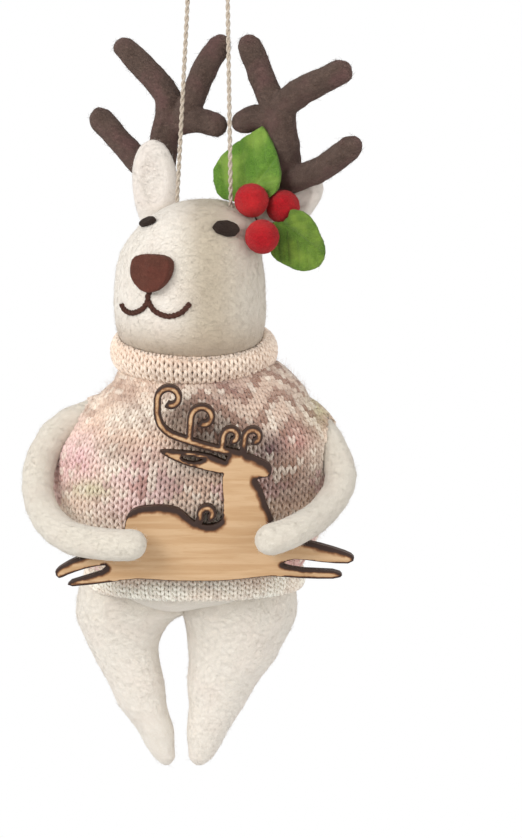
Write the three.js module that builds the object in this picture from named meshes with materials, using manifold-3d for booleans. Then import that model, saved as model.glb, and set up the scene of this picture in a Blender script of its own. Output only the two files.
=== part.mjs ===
// A hanging felt reindeer, about 155 mm from antler tips to toes. It is needle-felted wool in a knitted
// sweater, hugs a laser-cut plywood deer with wired arms, wears a sprig of felt holly, and hangs from a
// loop of twine stitched through the crown of its head.
// Millimetres, +Z up, the figure faces -Y, and the origin is where a hook bears on the top of the loop.
// Left and right are as seen from the front.
import * as THREE from "three";
import { mergeVertices } from "three/addons/utils/BufferGeometryUtils.js";
import Module from "manifold-3d";

const wasm = await Module();
wasm.setup();

// Driving dimensions
const loopHeight = 50.7; // hook seat down to the line on which the head swings
const headWidth = 32.2;
const headHeight = 43; // crown down to the neck's end inside the body
const headTurn = THREE.MathUtils.degToRad(28); // the face looks this far to the left of straight ahead
const bodyWidth = 51.4;
const bodyHeight = 58;
const sweaterRoom = 2.9; // from the body's skin to the knitting's outer face
const knitThickness = 1.8;
const armRadius = 3.4;
const legHeight = 48.4;
const antlerHeight = 20; // crown up to the left antler's fork
const tineRadius = 2.65;
const deerSpan = 61; // unit of the plywood deer's outline, about hoof to hoof
const plyThickness = 3;
const twineDiameter = 1;
const seatGap = 0.3; // left between pieces that touch, for the wool's nap
const overrun = 4; // how far a cutting tool runs past what it cuts

const twineRadius = twineDiameter / 2;
const turn = Math.PI * 2;
const halfTurn = Math.PI;
const quarterTurn = Math.PI / 2;
const degrees = THREE.MathUtils.degToRad;
const between = THREE.MathUtils.lerp;
const v = (x, y, z) => new THREE.Vector3(x, y, z);

// Felt, wood, yarn and twine
const finish = (color, roughness, metalness = 0) =>
  new THREE.MeshStandardMaterial({ color, roughness, metalness });
const creamFelt = finish(0xece4d8, 0.95);
const brownFelt = finish(0x4a3732, 0.95);
const noseFelt = finish(0x5a2c22, 0.95);
const eyeFelt = finish(0x2c221c, 0.9);
const greenFelt = finish(0x5f9a33, 0.95);
const redFelt = finish(0xb81522, 0.95);
const knitYarn = finish(0xd9bfb0, 0.95);
const creamYarn = finish(0xe6dccb, 0.95);
const plywood = finish(0xd9b17c, 0.7);
const twineFibre = finish(0xc3ab8b, 0.95);
const bareWire = finish(0x9a9a98, 0.35, 0.9);

// A closed solid from a geometry, its shared corners joined and its faces turned outward.
function solid(geometry, place) {
  const bare = geometry.clone();
  bare.deleteAttribute("normal");
  bare.deleteAttribute("uv");
  if (place) {
    bare.applyMatrix4(place);
  }
  const joined = mergeVertices(bare);
  const index = joined.index ? joined.index.array : joined.attributes.position.array.map((_, i) => i);
  const corners = (order) => {
    const kept = [];
    for (let i = 0; i < index.length; i += 3) {
      const face = order.map((k) => index[i + k]);
      if (new Set(face).size === 3) {
        kept.push(...face);
      }
    }
    return new Uint32Array(kept);
  };
  const make = (order) =>
    new wasm.Manifold(
      new wasm.Mesh({ numProp: 3, vertProperties: joined.attributes.position.array, triVerts: corners(order) }),
    );
  const made = make([0, 1, 2]);
  return made.volume() < 0 ? make([0, 2, 1]) : made;
}
const cut = (piece, ...tools) => tools.reduce((left, tool) => left.subtract(tool), piece);
const join = (first, ...rest) => rest.reduce((sum, piece) => sum.add(piece), first);

// A named mesh from a solid.
function node(name, piece, material) {
  const made = piece.getMesh();
  const geometry = new THREE.BufferGeometry();
  geometry.setAttribute("position", new THREE.BufferAttribute(made.vertProperties, 3));
  geometry.setIndex(new THREE.BufferAttribute(made.triVerts, 1));
  geometry.computeVertexNormals();
  const mesh = new THREE.Mesh(geometry, material);
  mesh.name = name;
  return mesh;
}

const through = (points) => new THREE.CatmullRomCurve3(points, false, "centripetal");
const line = (pairs, scale = 1, tall = scale) =>
  new THREE.SplineCurve(pairs.map(([x, y]) => new THREE.Vector2(x * scale, y * tall)));

// A limb: a lathed form bent along a curve, with rounded ends. radiusAt gives the radius at a share of
// the way, deep flattens it, and grow thickens it all over.
function limb(curve, radiusAt, sides, steps, grow = 0, deep = 1) {
  const length = curve.getLength() + grow * 2;
  const places = Array.from({ length: steps + 1 }, (_, i) => (1 - Math.cos((halfTurn * i) / steps)) / 2);
  const profile = places.map((place) => {
    const full = radiusAt(place) + grow;
    const fromEnd = Math.min(place, 1 - place) * length;
    const inCap = Math.max(0, 1 - fromEnd / Math.min(full, length / 2));
    return new THREE.Vector2(full * Math.sqrt(Math.max(0, 1 - inCap * inCap)), place);
  });
  const form = new THREE.LatheGeometry(profile, sides);
  let side = Math.abs(curve.getTangentAt(0).y) < Math.SQRT1_2 ? v(0, 1, 0) : v(1, 0, 0);
  const carried = places.map((place) => {
    const along = curve.getTangentAt(place);
    side = side.clone().addScaledVector(along, -side.dot(along)).normalize();
    const past = (place - 0.5) * 2 * grow;
    return { at: curve.getPointAt(place).addScaledVector(along, past), side, across: along.clone().cross(side) };
  });
  const position = form.attributes.position;
  for (let i = 0; i < position.count; i++) {
    const { at, side: deepWay, across } = carried[i % places.length];
    const spot = at.clone();
    spot.addScaledVector(deepWay, position.getX(i) * deep);
    spot.addScaledVector(across, position.getZ(i));
    position.setXYZ(i, spot.x, spot.y, spot.z);
  }
  return solid(form);
}

// Levels of a rounded form, read down a table of [half-width, height]. grow swells it square to its
// skin, depthShare presses it flatter front to back.
const straightUp = () => ({ ahead: 0, aside: 0 });
function levels(table, steps, { grow = 0, depthShare = 1, leanAt = straightUp } = {}) {
  return Array.from({ length: steps + 1 }, (_, i) => {
    const spot = table.getPoint(i / steps);
    const along = table.getTangent(i / steps);
    const atPole = spot.x < seatGap / overrun;
    const across = atPole ? 0 : Math.max(0, spot.x - along.y * grow);
    const deep = atPole ? 0 : Math.max(0, spot.x * depthShare - along.y * grow);
    return { across, deep, rise: spot.y + along.x * grow, ...leanAt(spot.y) };
  });
}

// A form lathed from levels, each an oval of its own.
function lathed(rows, sides, place) {
  const form = new THREE.LatheGeometry(
    rows.map(({ across, rise }) => new THREE.Vector2(across > 0 ? 1 : 0, rise)),
    sides,
  );
  const position = form.attributes.position;
  for (let i = 0; i < position.count; i++) {
    const { across, deep, rise, ahead, aside } = rows[i % rows.length];
    position.setXYZ(i, position.getX(i) * across + aside, position.getZ(i) * deep - ahead, rise);
  }
  return solid(form, place);
}

// A number read smoothly from a table of [height, value], heights rising.
const readFrom = (pairs) => (height) => {
  const past = pairs.findIndex(([place]) => place >= height);
  if (past < 1) {
    return past < 0 ? pairs.at(-1)[1] : pairs[0][1];
  }
  const [[low, first], [high, second]] = [pairs[past - 1], pairs[past]];
  return between(first, second, THREE.MathUtils.smoothstep(height, low, high));
};

// Head
// A dome of wool with full cheeks, on a frame of its own: origin in the middle of the line on which the
// head swings, X along that line, -Y the way the face looks. The cheeks fill out ahead and to the left.
const headHalf = headWidth / 2;
const crownRise = 0.5;
const headDepthShare = 0.93;
const crownSlip = 1.13; // the hinge's middle, left of under the hook
const headSides = 28;
const headSteps = 20;
const headTable = new THREE.SplineCurve(
  [
    [0, 0],
    [0.36, -0.018],
    [0.64, -0.07],
    [0.82, -0.15],
    [0.95, -0.28],
    [1, -0.43],
    [0.995, -0.6],
    [0.93, -0.69],
    [0.8, -0.76],
    [0.7, -0.86],
    [0.5, -0.97],
    [0, -1],
  ].map(([half, drop]) => new THREE.Vector2(half * headHalf, crownRise + drop * headHeight)),
);
const cheekAhead = headHalf * 0.112;
const cheekAside = -headHalf * 0.149;
const headLean = [
  [-1, -cheekAhead * 0.56, cheekAside / 2],
  [-0.6, cheekAhead, cheekAside],
  [-0.3, cheekAhead, cheekAside],
  [0.02, -cheekAhead / 3, 0],
];
const leanOf = (column) => readFrom(headLean.map((row) => [row[0] * headHeight, row[column]]));
const [aheadAt, asideAt] = [leanOf(1), leanOf(2)];
const headLeanAt = (rise) => ({ ahead: aheadAt(rise), aside: asideAt(rise) });
const headPlace = new THREE.Matrix4()
  .makeRotationZ(-headTurn)
  .setPosition(v(0, 0, -loopHeight))
  .multiply(new THREE.Matrix4().makeTranslation(-crownSlip, 0, 0));
const headForm = (grow = 0) =>
  lathed(
    levels(headTable, headSteps, { grow, depthShare: headDepthShare, leanAt: headLeanAt }),
    headSides,
    headPlace,
  );
const headClearance = headForm(seatGap);
const inHead = (out, ahead, rise) => v(out, -ahead, rise).applyMatrix4(headPlace);
const toHead = (geometry) => solid(geometry, headPlace);

// Hanging twine
// One piece of twine rises from the left hole, goes round the hook and comes down to the right hole.
const stitchSpan = 12.8; // between the two holes
const bightRadius = 4.5; // of the twine's middle line round the hook
const bightPoints = 7;
const twineSides = 8;
const twineSteps = 44;
const strandPoint = (side, share) => {
  const top = side * bightRadius;
  const foot = (side * stitchSpan) / 2 - crownSlip;
  return v(between(top, foot, share), 0, between(-bightRadius, -loopHeight, share));
};
const bight = Array.from({ length: bightPoints }, (_, i) => {
  const angle = halfTurn - (halfTurn * i) / (bightPoints - 1);
  const height = twineRadius - bightRadius + bightRadius * Math.sin(angle);
  return v(bightRadius * Math.cos(angle), 0, height);
});
const strandShares = [1, 0.65, 0.3];
const inLoop = (points) => points.map((point) => point.applyAxisAngle(v(0, 0, 1), -headTurn));
const loopCurve = through(
  inLoop([
    ...strandShares.map((share) => strandPoint(-1, share)),
    ...bight,
    ...strandShares.map((share) => strandPoint(1, share)).reverse(),
  ]),
);
const hangingLoop = limb(loopCurve, () => twineRadius, twineSides, twineSteps);

// The knot that closes the loop: the twine's two ends wound round the right strand, with short tails.
const knotShare = 0.005; // of the way down the strand
const knotTurns = 3;
const knotPitch = twineDiameter + seatGap;
const knotRadius = twineDiameter + seatGap * 1.4; // of the wound twine's middle line
const knotStepsPerTurn = 10;
const tailLength = 6;
const tailLean = 0.45; // sideways part of a tail's length
const tailLift = 0.1;
const knotMiddle = strandPoint(1, knotShare);
const knotWinds = Array.from({ length: knotTurns * knotStepsPerTurn + 1 }, (_, i) => {
  const angle = (turn * i) / knotStepsPerTurn;
  const drop = (knotPitch * i) / knotStepsPerTurn - (knotTurns * knotPitch) / 2;
  return knotMiddle.clone().add(v(knotRadius * Math.cos(angle), knotRadius * Math.sin(angle), -drop));
});
const tail = (from, way) => [
  from.clone().add(v(knotRadius * tailLean, (way * tailLength) / 3, tailLength * tailLift)),
  from.clone().add(v(tailLength * tailLean, way * tailLength, tailLength * tailLift)),
];
const knotCurve = through(
  inLoop([...tail(knotWinds[0], -1).reverse(), ...knotWinds, ...tail(knotWinds.at(-1), 1)]),
);
const twineKnot = limb(knotCurve, () => twineRadius, 6, 60);

// The stitch under the crown's wool that joins the two holes
const stitchDepth = 3.4;
const stitchTop = twineDiameter + seatGap;
const stitchPoint = (share, depth) => inHead((share * stitchSpan) / 2, 0, -depth);
const stitchCurve = through([
  stitchPoint(-1, stitchTop),
  stitchPoint(-0.7, stitchDepth),
  stitchPoint(0.7, stitchDepth),
  stitchPoint(1, stitchTop),
]);
const crownStitch = limb(stitchCurve, () => twineRadius, 6, 14);
const stitchBore = limb(
  through([stitchPoint(-1, -twineDiameter), ...stitchCurve.points, stitchPoint(1, -twineDiameter)]),
  () => twineRadius + seatGap,
  8,
  18,
);

// Antlers
// Each is a wire wrapped in brown wool: a beam that leaves the crown, leans back and ends in the outer
// tine of its fork, an inner tine, a brow tine low on the outside, and a cross tine that reaches in
// towards the other antler's. Points are shares of their height: out, back and up from the hinge.
const beamRadius = 2.9;
const tipShare = 0.9; // a tine's tip radius, of its root radius
const wireRadius = 0.45;
const wireShare = 0.85; // of a beam's or tine's length that its wire reaches
const tineSides = 10;
const tineSteps = 10;
const beamSteps = 18;
const wireSides = 6;
const wireSteps = 8;
const tineBow = tineRadius * 0.55;
const crossTineGap = 0.8; // between the tips of the two cross tines
const antlerShares = {
  left: {
    side: -1,
    beam: [[-0.42, 0.15, -0.45], [-0.64, 0.3, -0.17], [-0.745, 0.4, 0.2], [-0.7, 0.42, 0.6]],
    fork: [-0.645, 0.42, 1.01],
    outer: [-1.195, 0.42, 1.63],
    inner: { from: 0.74, by: [[-0.44, 0.42, 0.88], [-0.36, 0.42, 1.07], [-0.23, 0.42, 1.4]], tip: [-0.03, 0.42, 1.69] },
    brow: { from: 0.08, bow: 0, tip: [-1.55, 0.45, 0.84] },
    cross: { from: 0.74, tip: [0.0925, 0.4, 0.74] },
  },
  right: {
    side: 1,
    beam: [[0.22, 0.25, -0.5], [0.36, 0.45, -0.25], [0.62, 0.56, 0.15], [0.68, 0.48, 0.55]],
    fork: [0.69, 0.42, 0.96],
    outer: [1.42, 0.42, 1.42],
    inner: { from: 0.86, by: [[0.52, 0.42, 1.16], [0.4, 0.42, 1.45]], tip: [0.3, 0.42, 1.69] },
    brow: { from: 0.16, bow: 1, tip: [1.57, 0.25, 0.64] },
    cross: { from: 0.8, tip: [0.0925, 0.4, 0.76] },
  },
};

function antler({ side, beam, fork, outer, inner, brow, cross }) {
  const at = ([out, back, up]) => inHead(out * antlerHeight, -back * antlerHeight, up * antlerHeight);
  const forkAt = at(fork);
  const beamCurve = through([...beam.map(at), forkAt, at(outer)]);
  const spots = beamCurve.getPoints(80);
  const onBeam = (share) => spots.find((spot) => spot.z > share * antlerHeight - loopHeight);
  const bowed = (from, to, bend) => through([from, from.clone().lerp(to, 0.5).add(bend), to]);
  const innerCurve = through([onBeam(inner.from), ...inner.by.map(at), at(inner.tip)]);
  const browCurve = bowed(onBeam(brow.from), at(brow.tip), v(0, 0, -tineBow * brow.bow));
  const crossEnd = at(cross.tip).add(v((side * crossTineGap) / 2 + side * tineRadius * tipShare / 4, 0, 0));
  const crossCurve = bowed(onBeam(cross.from), crossEnd, v(0, 0, tineBow));
  const wireIn = (curve, steps, radius) => {
    const reach = through(curve.getPoints(30).slice(0, Math.round(30 * wireShare) + 1));
    return limb(reach, () => radius, wireSides, steps);
  };
  const strands = (radius) => [
    wireIn(beamCurve, beamSteps, radius),
    ...[innerCurve, browCurve, crossCurve].map((curve) => wireIn(curve, wireSteps, radius)),
  ];
  const bores = strands(wireRadius + seatGap);
  const beamRadiusAt = (share) => between(beamRadius, tineRadius * tipShare, share * share);
  const tineRadiusAt = (share) => between(tineRadius, tineRadius * tipShare, share);
  const beamForm = (grow) => limb(beamCurve, beamRadiusAt, tineSides, beamSteps, grow);
  const beamClearance = beamForm(seatGap);
  const tine = (curve, grow = 0) => limb(curve, tineRadiusAt, tineSides, tineSteps, grow);
  return {
    beam: cut(beamForm(0), headClearance, ...bores),
    inner: cut(tine(innerCurve), beamClearance, ...bores),
    brow: cut(tine(browCurve), beamClearance, headClearance, ...bores),
    cross: cut(tine(crossCurve), beamClearance, tine(innerCurve, seatGap), ...bores),
    wire: join(...strands(wireRadius)),
    bores,
    clearances: [beamClearance, tine(browCurve, seatGap)],
  };
}
const leftAntler = antler(antlerShares.left);
const rightAntler = antler(antlerShares.right);

// Ears
// Flattened drops of felt with a hollow pressed into the front, standing at the back of the dome.
const earLength = 19;
const earWidth = 10.2;
const earThickness = 4.4;
const earDepthShare = earThickness / earWidth;
const earTable = new THREE.SplineCurve(
  [[0, 1], [0.56, 0.92], [0.9, 0.72], [1, 0.46], [0.86, 0.18], [0.6, 0.03], [0, 0]].map(
    ([half, height]) => new THREE.Vector2((half * earWidth) / 2, height * earLength),
  ),
);
const hollow = { width: earWidth * 0.3, depth: earThickness * 0.32, height: earLength * 0.3 };
function ear({ root, lean, turned }) {
  const place = headPlace
    .clone()
    .multiply(new THREE.Matrix4().makeTranslation(...root.map((share) => share * headHalf)))
    .multiply(new THREE.Matrix4().makeRotationFromEuler(new THREE.Euler(0, degrees(lean), degrees(turned), "ZYX")));
  const scoop = new THREE.SphereGeometry(1, 14, 10);
  scoop.scale(hollow.width, hollow.depth, hollow.height);
  scoop.translate(0, -earThickness / 2, earLength * 0.56);
  const body = lathed(levels(earTable, 14, { depthShare: earDepthShare }), 16, place);
  return cut(body, solid(scoop, place), headClearance);
}
const leftEar = cut(
  ear({ root: [-0.77, 0.16, -0.39], lean: -4, turned: 18 }),
  ...leftAntler.clearances,
);
const rightEar = cut(
  ear({ root: [0.5, 0.42, -0.47], lean: 48, turned: 34 }),
  ...rightAntler.clearances,
);

// Face
// Nose, eyes and mouth are coloured wool felted on. Each is the part of a raised skin that lies inside
// its outline. The outline is pushed out of the head along a bearing and a pitch.
const faceReach = headWidth;
function pushedOut(shape, { bearing = 0, pitch = 0, aside = 0, rise }) {
  const outward = v(
    Math.sin(bearing) * Math.cos(pitch),
    -Math.cos(bearing) * Math.cos(pitch),
    Math.sin(pitch),
  );
  const across = v(Math.cos(bearing), Math.sin(bearing), 0);
  const place = new THREE.Matrix4()
    .makeBasis(across, outward.clone().cross(across), outward)
    .setPosition(cheekAside + aside, -cheekAhead, rise);
  const prism = new THREE.ExtrudeGeometry(shape, { depth: faceReach, bevelEnabled: false, curveSegments: 4 });
  return toHead(prism.applyMatrix4(place));
}
const patch = (shape, thickness, aim) =>
  cut(pushedOut(shape, aim).intersect(headForm(seatGap + thickness)), headClearance);

const noseWidth = 8.8;
const noseHeight = 7.2;
const noseThickness = 1.9;
const noseAside = -noseWidth * 0.045; // the nose and mouth sit a little to the left on the face
const noseRise = -headHeight * 0.32; // its middle, from the hinge's height
function noseOutline(grow = 0) {
  const shape = new THREE.Shape();
  const half = noseWidth / 2 + grow;
  const tall = noseHeight + grow * 2;
  shape.moveTo(0, -tall * 0.5);
  shape.bezierCurveTo(half * 0.55, -tall * 0.5, half, -tall * 0.16, half, tall * 0.16);
  shape.bezierCurveTo(half, tall * 0.42, half * 0.8, tall * 0.5, 0, tall * 0.5);
  shape.bezierCurveTo(-half * 0.8, tall * 0.5, -half, tall * 0.42, -half, tall * 0.16);
  shape.bezierCurveTo(-half, -tall * 0.16, -half * 0.55, -tall * 0.5, 0, -tall * 0.5);
  return shape;
}
const nose = patch(noseOutline(), noseThickness, { aside: noseAside, rise: noseRise });

// The mouth: a short line down from the nose that parts into two smiling curls
const lipThickness = 0.7;
const lipHalfWidth = 0.6;
const smileHalfWidth = 8.2;
const smileDrop = 2.4;
const philtrumLength = 3.4;
const mouthAside = noseAside * 3.5;
const mouthRise = noseRise - noseHeight / 2 - philtrumLength * 0.8;
function stroke(points) {
  const middle = new THREE.SplineCurve(points.map(([x, y]) => new THREE.Vector2(x, y)));
  const steps = points.length * 3;
  const edge = (way) =>
    Array.from({ length: steps + 1 }, (_, i) => {
      const spot = middle.getPoint(i / steps);
      const along = middle.getTangent(i / steps);
      return new THREE.Vector2(spot.x - along.y * lipHalfWidth * way, spot.y + along.x * lipHalfWidth * way);
    });
  return new THREE.Shape([...edge(1), ...edge(-1).reverse()]);
}
// Points of a curl as shares of the smile's half-width and drop: the right one reaches farther and higher
const smileShares = {
  left: [[-0.18, -0.5], [-0.52, -0.92], [-0.8, -0.72], [-0.93, -0.3]],
  right: [[0.2, -0.6], [0.56, -1], [0.88, -0.66], [1.08, 0.1]],
};
const smile = (shares) => [
  [0, lipHalfWidth],
  ...shares.map(([out, up]) => [out * smileHalfWidth, up * smileDrop]),
];
const lipLine = (points) => patch(stroke(points), lipThickness, { aside: mouthAside, rise: mouthRise });
const mouth = cut(
  join(
    lipLine([[noseAside - mouthAside, philtrumLength], [0, philtrumLength / 2], [0, -lipHalfWidth / 2]]),
    lipLine(smile(smileShares.left)),
    lipLine(smile(smileShares.right)),
  ),
  pushedOut(noseOutline(seatGap), { aside: noseAside, rise: noseRise }),
);

// The eyes are almonds of dark wool. The left one is smaller, and slants up toward the crown.
const eyeHalfLength = 2.6;
const eyeThickness = 0.8;
const eyePitch = 40;
const eyeRootRise = -headHeight * 0.314; // where the eyes' directions start, on the head's axis
function eye({ bearing, slant, rise, pitch, size, slimness }) {
  const shape = new THREE.Shape();
  const half = eyeHalfLength * size;
  shape.absellipse(0, 0, half, half * slimness, 0, turn, false, degrees(slant));
  return patch(shape, eyeThickness, { bearing: degrees(bearing), pitch: degrees(pitch), rise });
}
const leftEye = eye({ bearing: -36, slant: 22, rise: eyeRootRise, pitch: eyePitch + 5, size: 0.9, slimness: 0.45 });
const rightEye = eye({
  bearing: 64,
  slant: -20,
  rise: eyeRootRise - eyeThickness * 2.5,
  pitch: eyePitch - 1,
  size: 1.08,
  slimness: 0.56,
});

// Holly
// Two felt leaves and three felted berries on the right of the crown, before the ear.
const berryRadius = 3.6;
const onCrown = (shares) => inHead(...shares.map((share) => share * headHalf));
const berryPlaces = {
  berry_inner: onCrown([0.715, 0.03, 0.037]),
  berry_outer: onCrown([0.99, -0.315, -0.06]),
  berry_lower: onCrown([0.96, 0.2, -0.41]),
};
function berry(at, grow = 0) {
  const form = new THREE.SphereGeometry(berryRadius + grow, 16, 11);
  form.translate(at.x, at.y, at.z);
  return solid(form);
}
const berries = Object.entries(berryPlaces).map(([name, at]) =>
  node(name, cut(berry(at), headClearance), redFelt),
);
const berryClearances = Object.values(berryPlaces).map((at) => berry(at, seatGap));

const leafThickness = 1.2;
const leafLength = 17.8;
// A leaf broadest near its root. Its tip is pointed, or rounded off by a bluntness up to 1.
function leaf({ length, width, root, bluntness, lean, turned, tipped }) {
  const half = width / 2;
  const shape = new THREE.Shape();
  const [tipOut, tipUp] = [half * between(0.42, 0.72, bluntness), length * between(0.84, 1, bluntness)];
  const shoulder = [half * between(0.74, 0.95, bluntness), length * 0.66];
  shape.moveTo(0, 0);
  shape.bezierCurveTo(half * 1.05, 0, half * 1.35, length * 0.38, ...shoulder);
  shape.quadraticCurveTo(tipOut, tipUp, 0, length);
  shape.quadraticCurveTo(-tipOut, tipUp, -shoulder[0], shoulder[1]);
  shape.bezierCurveTo(-half * 1.35, length * 0.38, -half * 1.05, 0, 0, 0);
  const form = new THREE.ExtrudeGeometry(shape, { depth: leafThickness, bevelEnabled: false, curveSegments: 6 });
  form.translate(0, 0, -leafThickness / 2);
  form.rotateX(quarterTurn);
  const place = new THREE.Matrix4()
    .makeRotationFromEuler(new THREE.Euler(degrees(tipped), degrees(lean), degrees(turned), "ZYX"))
    .setPosition(onCrown(root));
  return cut(solid(form, place), ...berryClearances, headClearance);
}
const upperLeaf = leaf({
  length: leafLength,
  width: leafLength * 0.84,
  root: [0.44, -0.16, -0.09],
  bluntness: 0,
  lean: 10,
  turned: -34,
  tipped: -12,
});
const lowerLeaf = leaf({
  length: leafLength * 0.76,
  width: leafLength * 0.6,
  root: [0.97, -0.19, -0.19],
  bluntness: 0.85,
  lean: 136,
  turned: -28,
  tipped: 0,
});

// Body
// A pear of wool on a frame of its own: origin on its axis at the top of the neck, front along -Y.
const bodySide = -3.2;
const bodyBack = 3.4;
const bodyDrop = headHeight * 0.628; // hinge down to the top of the body
const bodyDepthShare = 0.7;
const bodyTop = v(bodySide, bodyBack, -loopHeight - bodyDrop);
const bodyPlace = new THREE.Matrix4().setPosition(bodyTop);
const inBody = (out, ahead, rise) => v(out, -ahead, rise).add(bodyTop);
const bodySides = 24;
const torsoSteps = 18;
const torsoTable = new THREE.SplineCurve(
  [
    [0, 0],
    [0.3, -0.01],
    [0.44, -0.06],
    [0.52, -0.12],
    [0.67, -0.18],
    [0.85, -0.262],
    [0.965, -0.38],
    [1, -0.526],
    [0.985, -0.655],
    [0.885, -0.776],
    [0.78, -0.862],
    [0.785, -0.91],
    [0.7, -0.97],
    [0.4, -0.995],
    [0, -1],
  ].map(([half, drop]) => new THREE.Vector2((half * bodyWidth) / 2, drop * bodyHeight)),
);
const slump = bodyWidth * 0.039; // the body sags over to the right at the shoulders
const slumpAt = readFrom([
  [-bodyHeight * 0.8, 0],
  [-bodyHeight * 0.25, slump],
  [0, 0],
]);
const bodyLeanAt = (rise) => ({ ahead: 0, aside: slumpAt(rise) });
const torsoForm = (grow = 0) =>
  lathed(
    levels(torsoTable, torsoSteps, { grow, depthShare: bodyDepthShare, leanAt: bodyLeanAt }),
    bodySides,
    bodyPlace,
  );
const torsoClearance = torsoForm(seatGap);

// Sweater
// A knitted tube that bags over the body, with a rolled collar, a ribbed hem and a hole for each arm.
const sweaterHalf = bodyWidth / 2 + sweaterRoom;
const sweaterTop = -bodyHeight * 0.129;
const sweaterHeight = bodyHeight * 0.7345;
const sweaterDepthShare = 0.72;
const sweaterSides = 32;
const sweaterSteps = 12;
const sweaterTable = new THREE.SplineCurve(
  [[0.6, 0], [0.72, -0.07], [0.87, -0.18], [0.97, -0.34], [1, -0.54], [0.985, -0.72], [0.9, -0.88], [0.8, -1]].map(
    ([half, drop]) => new THREE.Vector2(half * sweaterHalf, sweaterTop + drop * sweaterHeight),
  ),
);
const sweaterLevels = (grow) =>
  levels(sweaterTable, sweaterSteps, { grow, depthShare: sweaterDepthShare, leanAt: bodyLeanAt });
const shell = (outer, inner) =>
  lathed([...outer, ...inner.toReversed(), outer[0]], sweaterSides, bodyPlace);
// A band of knitting of round section, in levels round its own middle, nodded forward by an angle
function roll({ half, rise, thick, tall, depthShare, nod = 0, steps = 12 }) {
  const rows = Array.from({ length: steps + 1 }, (_, i) => {
    const angle = -(turn * i) / steps;
    const bulge = (thick / 2) * Math.cos(angle);
    return {
      across: half + bulge,
      deep: half * depthShare + bulge,
      rise: (tall / 2) * Math.sin(angle),
      ahead: 0,
      aside: 0,
    };
  });
  const place = bodyPlace
    .clone()
    .multiply(new THREE.Matrix4().makeTranslation(0, 0, rise))
    .multiply(new THREE.Matrix4().makeRotationX(nod));
  return lathed(rows, sweaterSides, place);
}
const collarThickness = 5.6;
const collarHeight = 6.2;
const collarDepthShare = 0.92;
const collarNod = degrees(8);
const collarForm = (grow) =>
  roll({
    half: bodyWidth * 0.3385 - collarThickness / 2,
    rise: sweaterTop + collarHeight * 0.6,
    thick: collarThickness + grow * 2,
    tall: collarHeight + grow * 2,
    depthShare: collarDepthShare,
    nod: collarNod,
  });
const collar = cut(collarForm(0), headClearance, torsoClearance);
const collarClearance = collarForm(seatGap);
const hemThickness = 2.2;
const hemHeight = 4.6;
const hemDrop = sweaterTop - sweaterHeight;
const hemForm = (grow) =>
  roll({
    half: sweaterHalf * 0.8 - hemThickness / 3,
    rise: hemDrop - hemHeight / 2 - seatGap,
    thick: hemThickness + grow * 2,
    tall: hemHeight + grow * 2,
    depthShare: sweaterDepthShare,
  });
const hem = cut(hemForm(0), torsoClearance);
const hemClearance = hemForm(seatGap);

// Legs
// Plump drops of wool, close together and turned in to pointed toes. Each table runs down the leg:
// how far down and how far out its middle is, and its half-width, as shares of the leg's height.
const legDepthShare = 0.88;
const legSides = 20;
const legSteps = 16;
const hipDrop = bodyHeight * 0.793; // top of the body down to where the legs begin
const legShares = {
  right: [
    [0, 0.2, 0],
    [0.03, 0.2, 0.09],
    [0.12, 0.2, 0.19],
    [0.21, 0.225, 0.255],
    [0.33, 0.232, 0.262],
    [0.5, 0.2, 0.228],
    [0.69, 0.13, 0.16],
    [0.87, 0.074, 0.105],
    [0.97, 0.046, 0.062],
    [1, 0.04, 0],
  ],
  left: [
    [0, -0.28, 0],
    [0.03, -0.28, 0.08],
    [0.12, -0.29, 0.14],
    [0.21, -0.34, 0.195],
    [0.33, -0.347, 0.2],
    [0.5, -0.3, 0.17],
    [0.69, -0.238, 0.14],
    [0.87, -0.163, 0.092],
    [0.97, -0.13, 0.055],
    [1, -0.125, 0],
  ],
};
function legForm(shares, grow = 0) {
  const spread = (column) => shares.map((row) => [-row[0] * legHeight, row[column] * legHeight]).reverse();
  const outAt = readFrom(spread(1));
  const table = new THREE.SplineCurve(
    shares.map(([down, , half]) => new THREE.Vector2(half * legHeight, -down * legHeight)),
  );
  const leanAt = (rise) => ({ ahead: 0, aside: outAt(rise) });
  const place = bodyPlace.clone().multiply(new THREE.Matrix4().makeTranslation(0, 0, -hipDrop));
  return lathed(levels(table, legSteps, { grow, depthShare: legDepthShare, leanAt }), legSides, place);
}
const rightLeg = cut(legForm(legShares.right), torsoClearance, hemClearance);
const leftLeg = cut(legForm(legShares.left), torsoClearance, hemClearance, legForm(legShares.right, seatGap));

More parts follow.
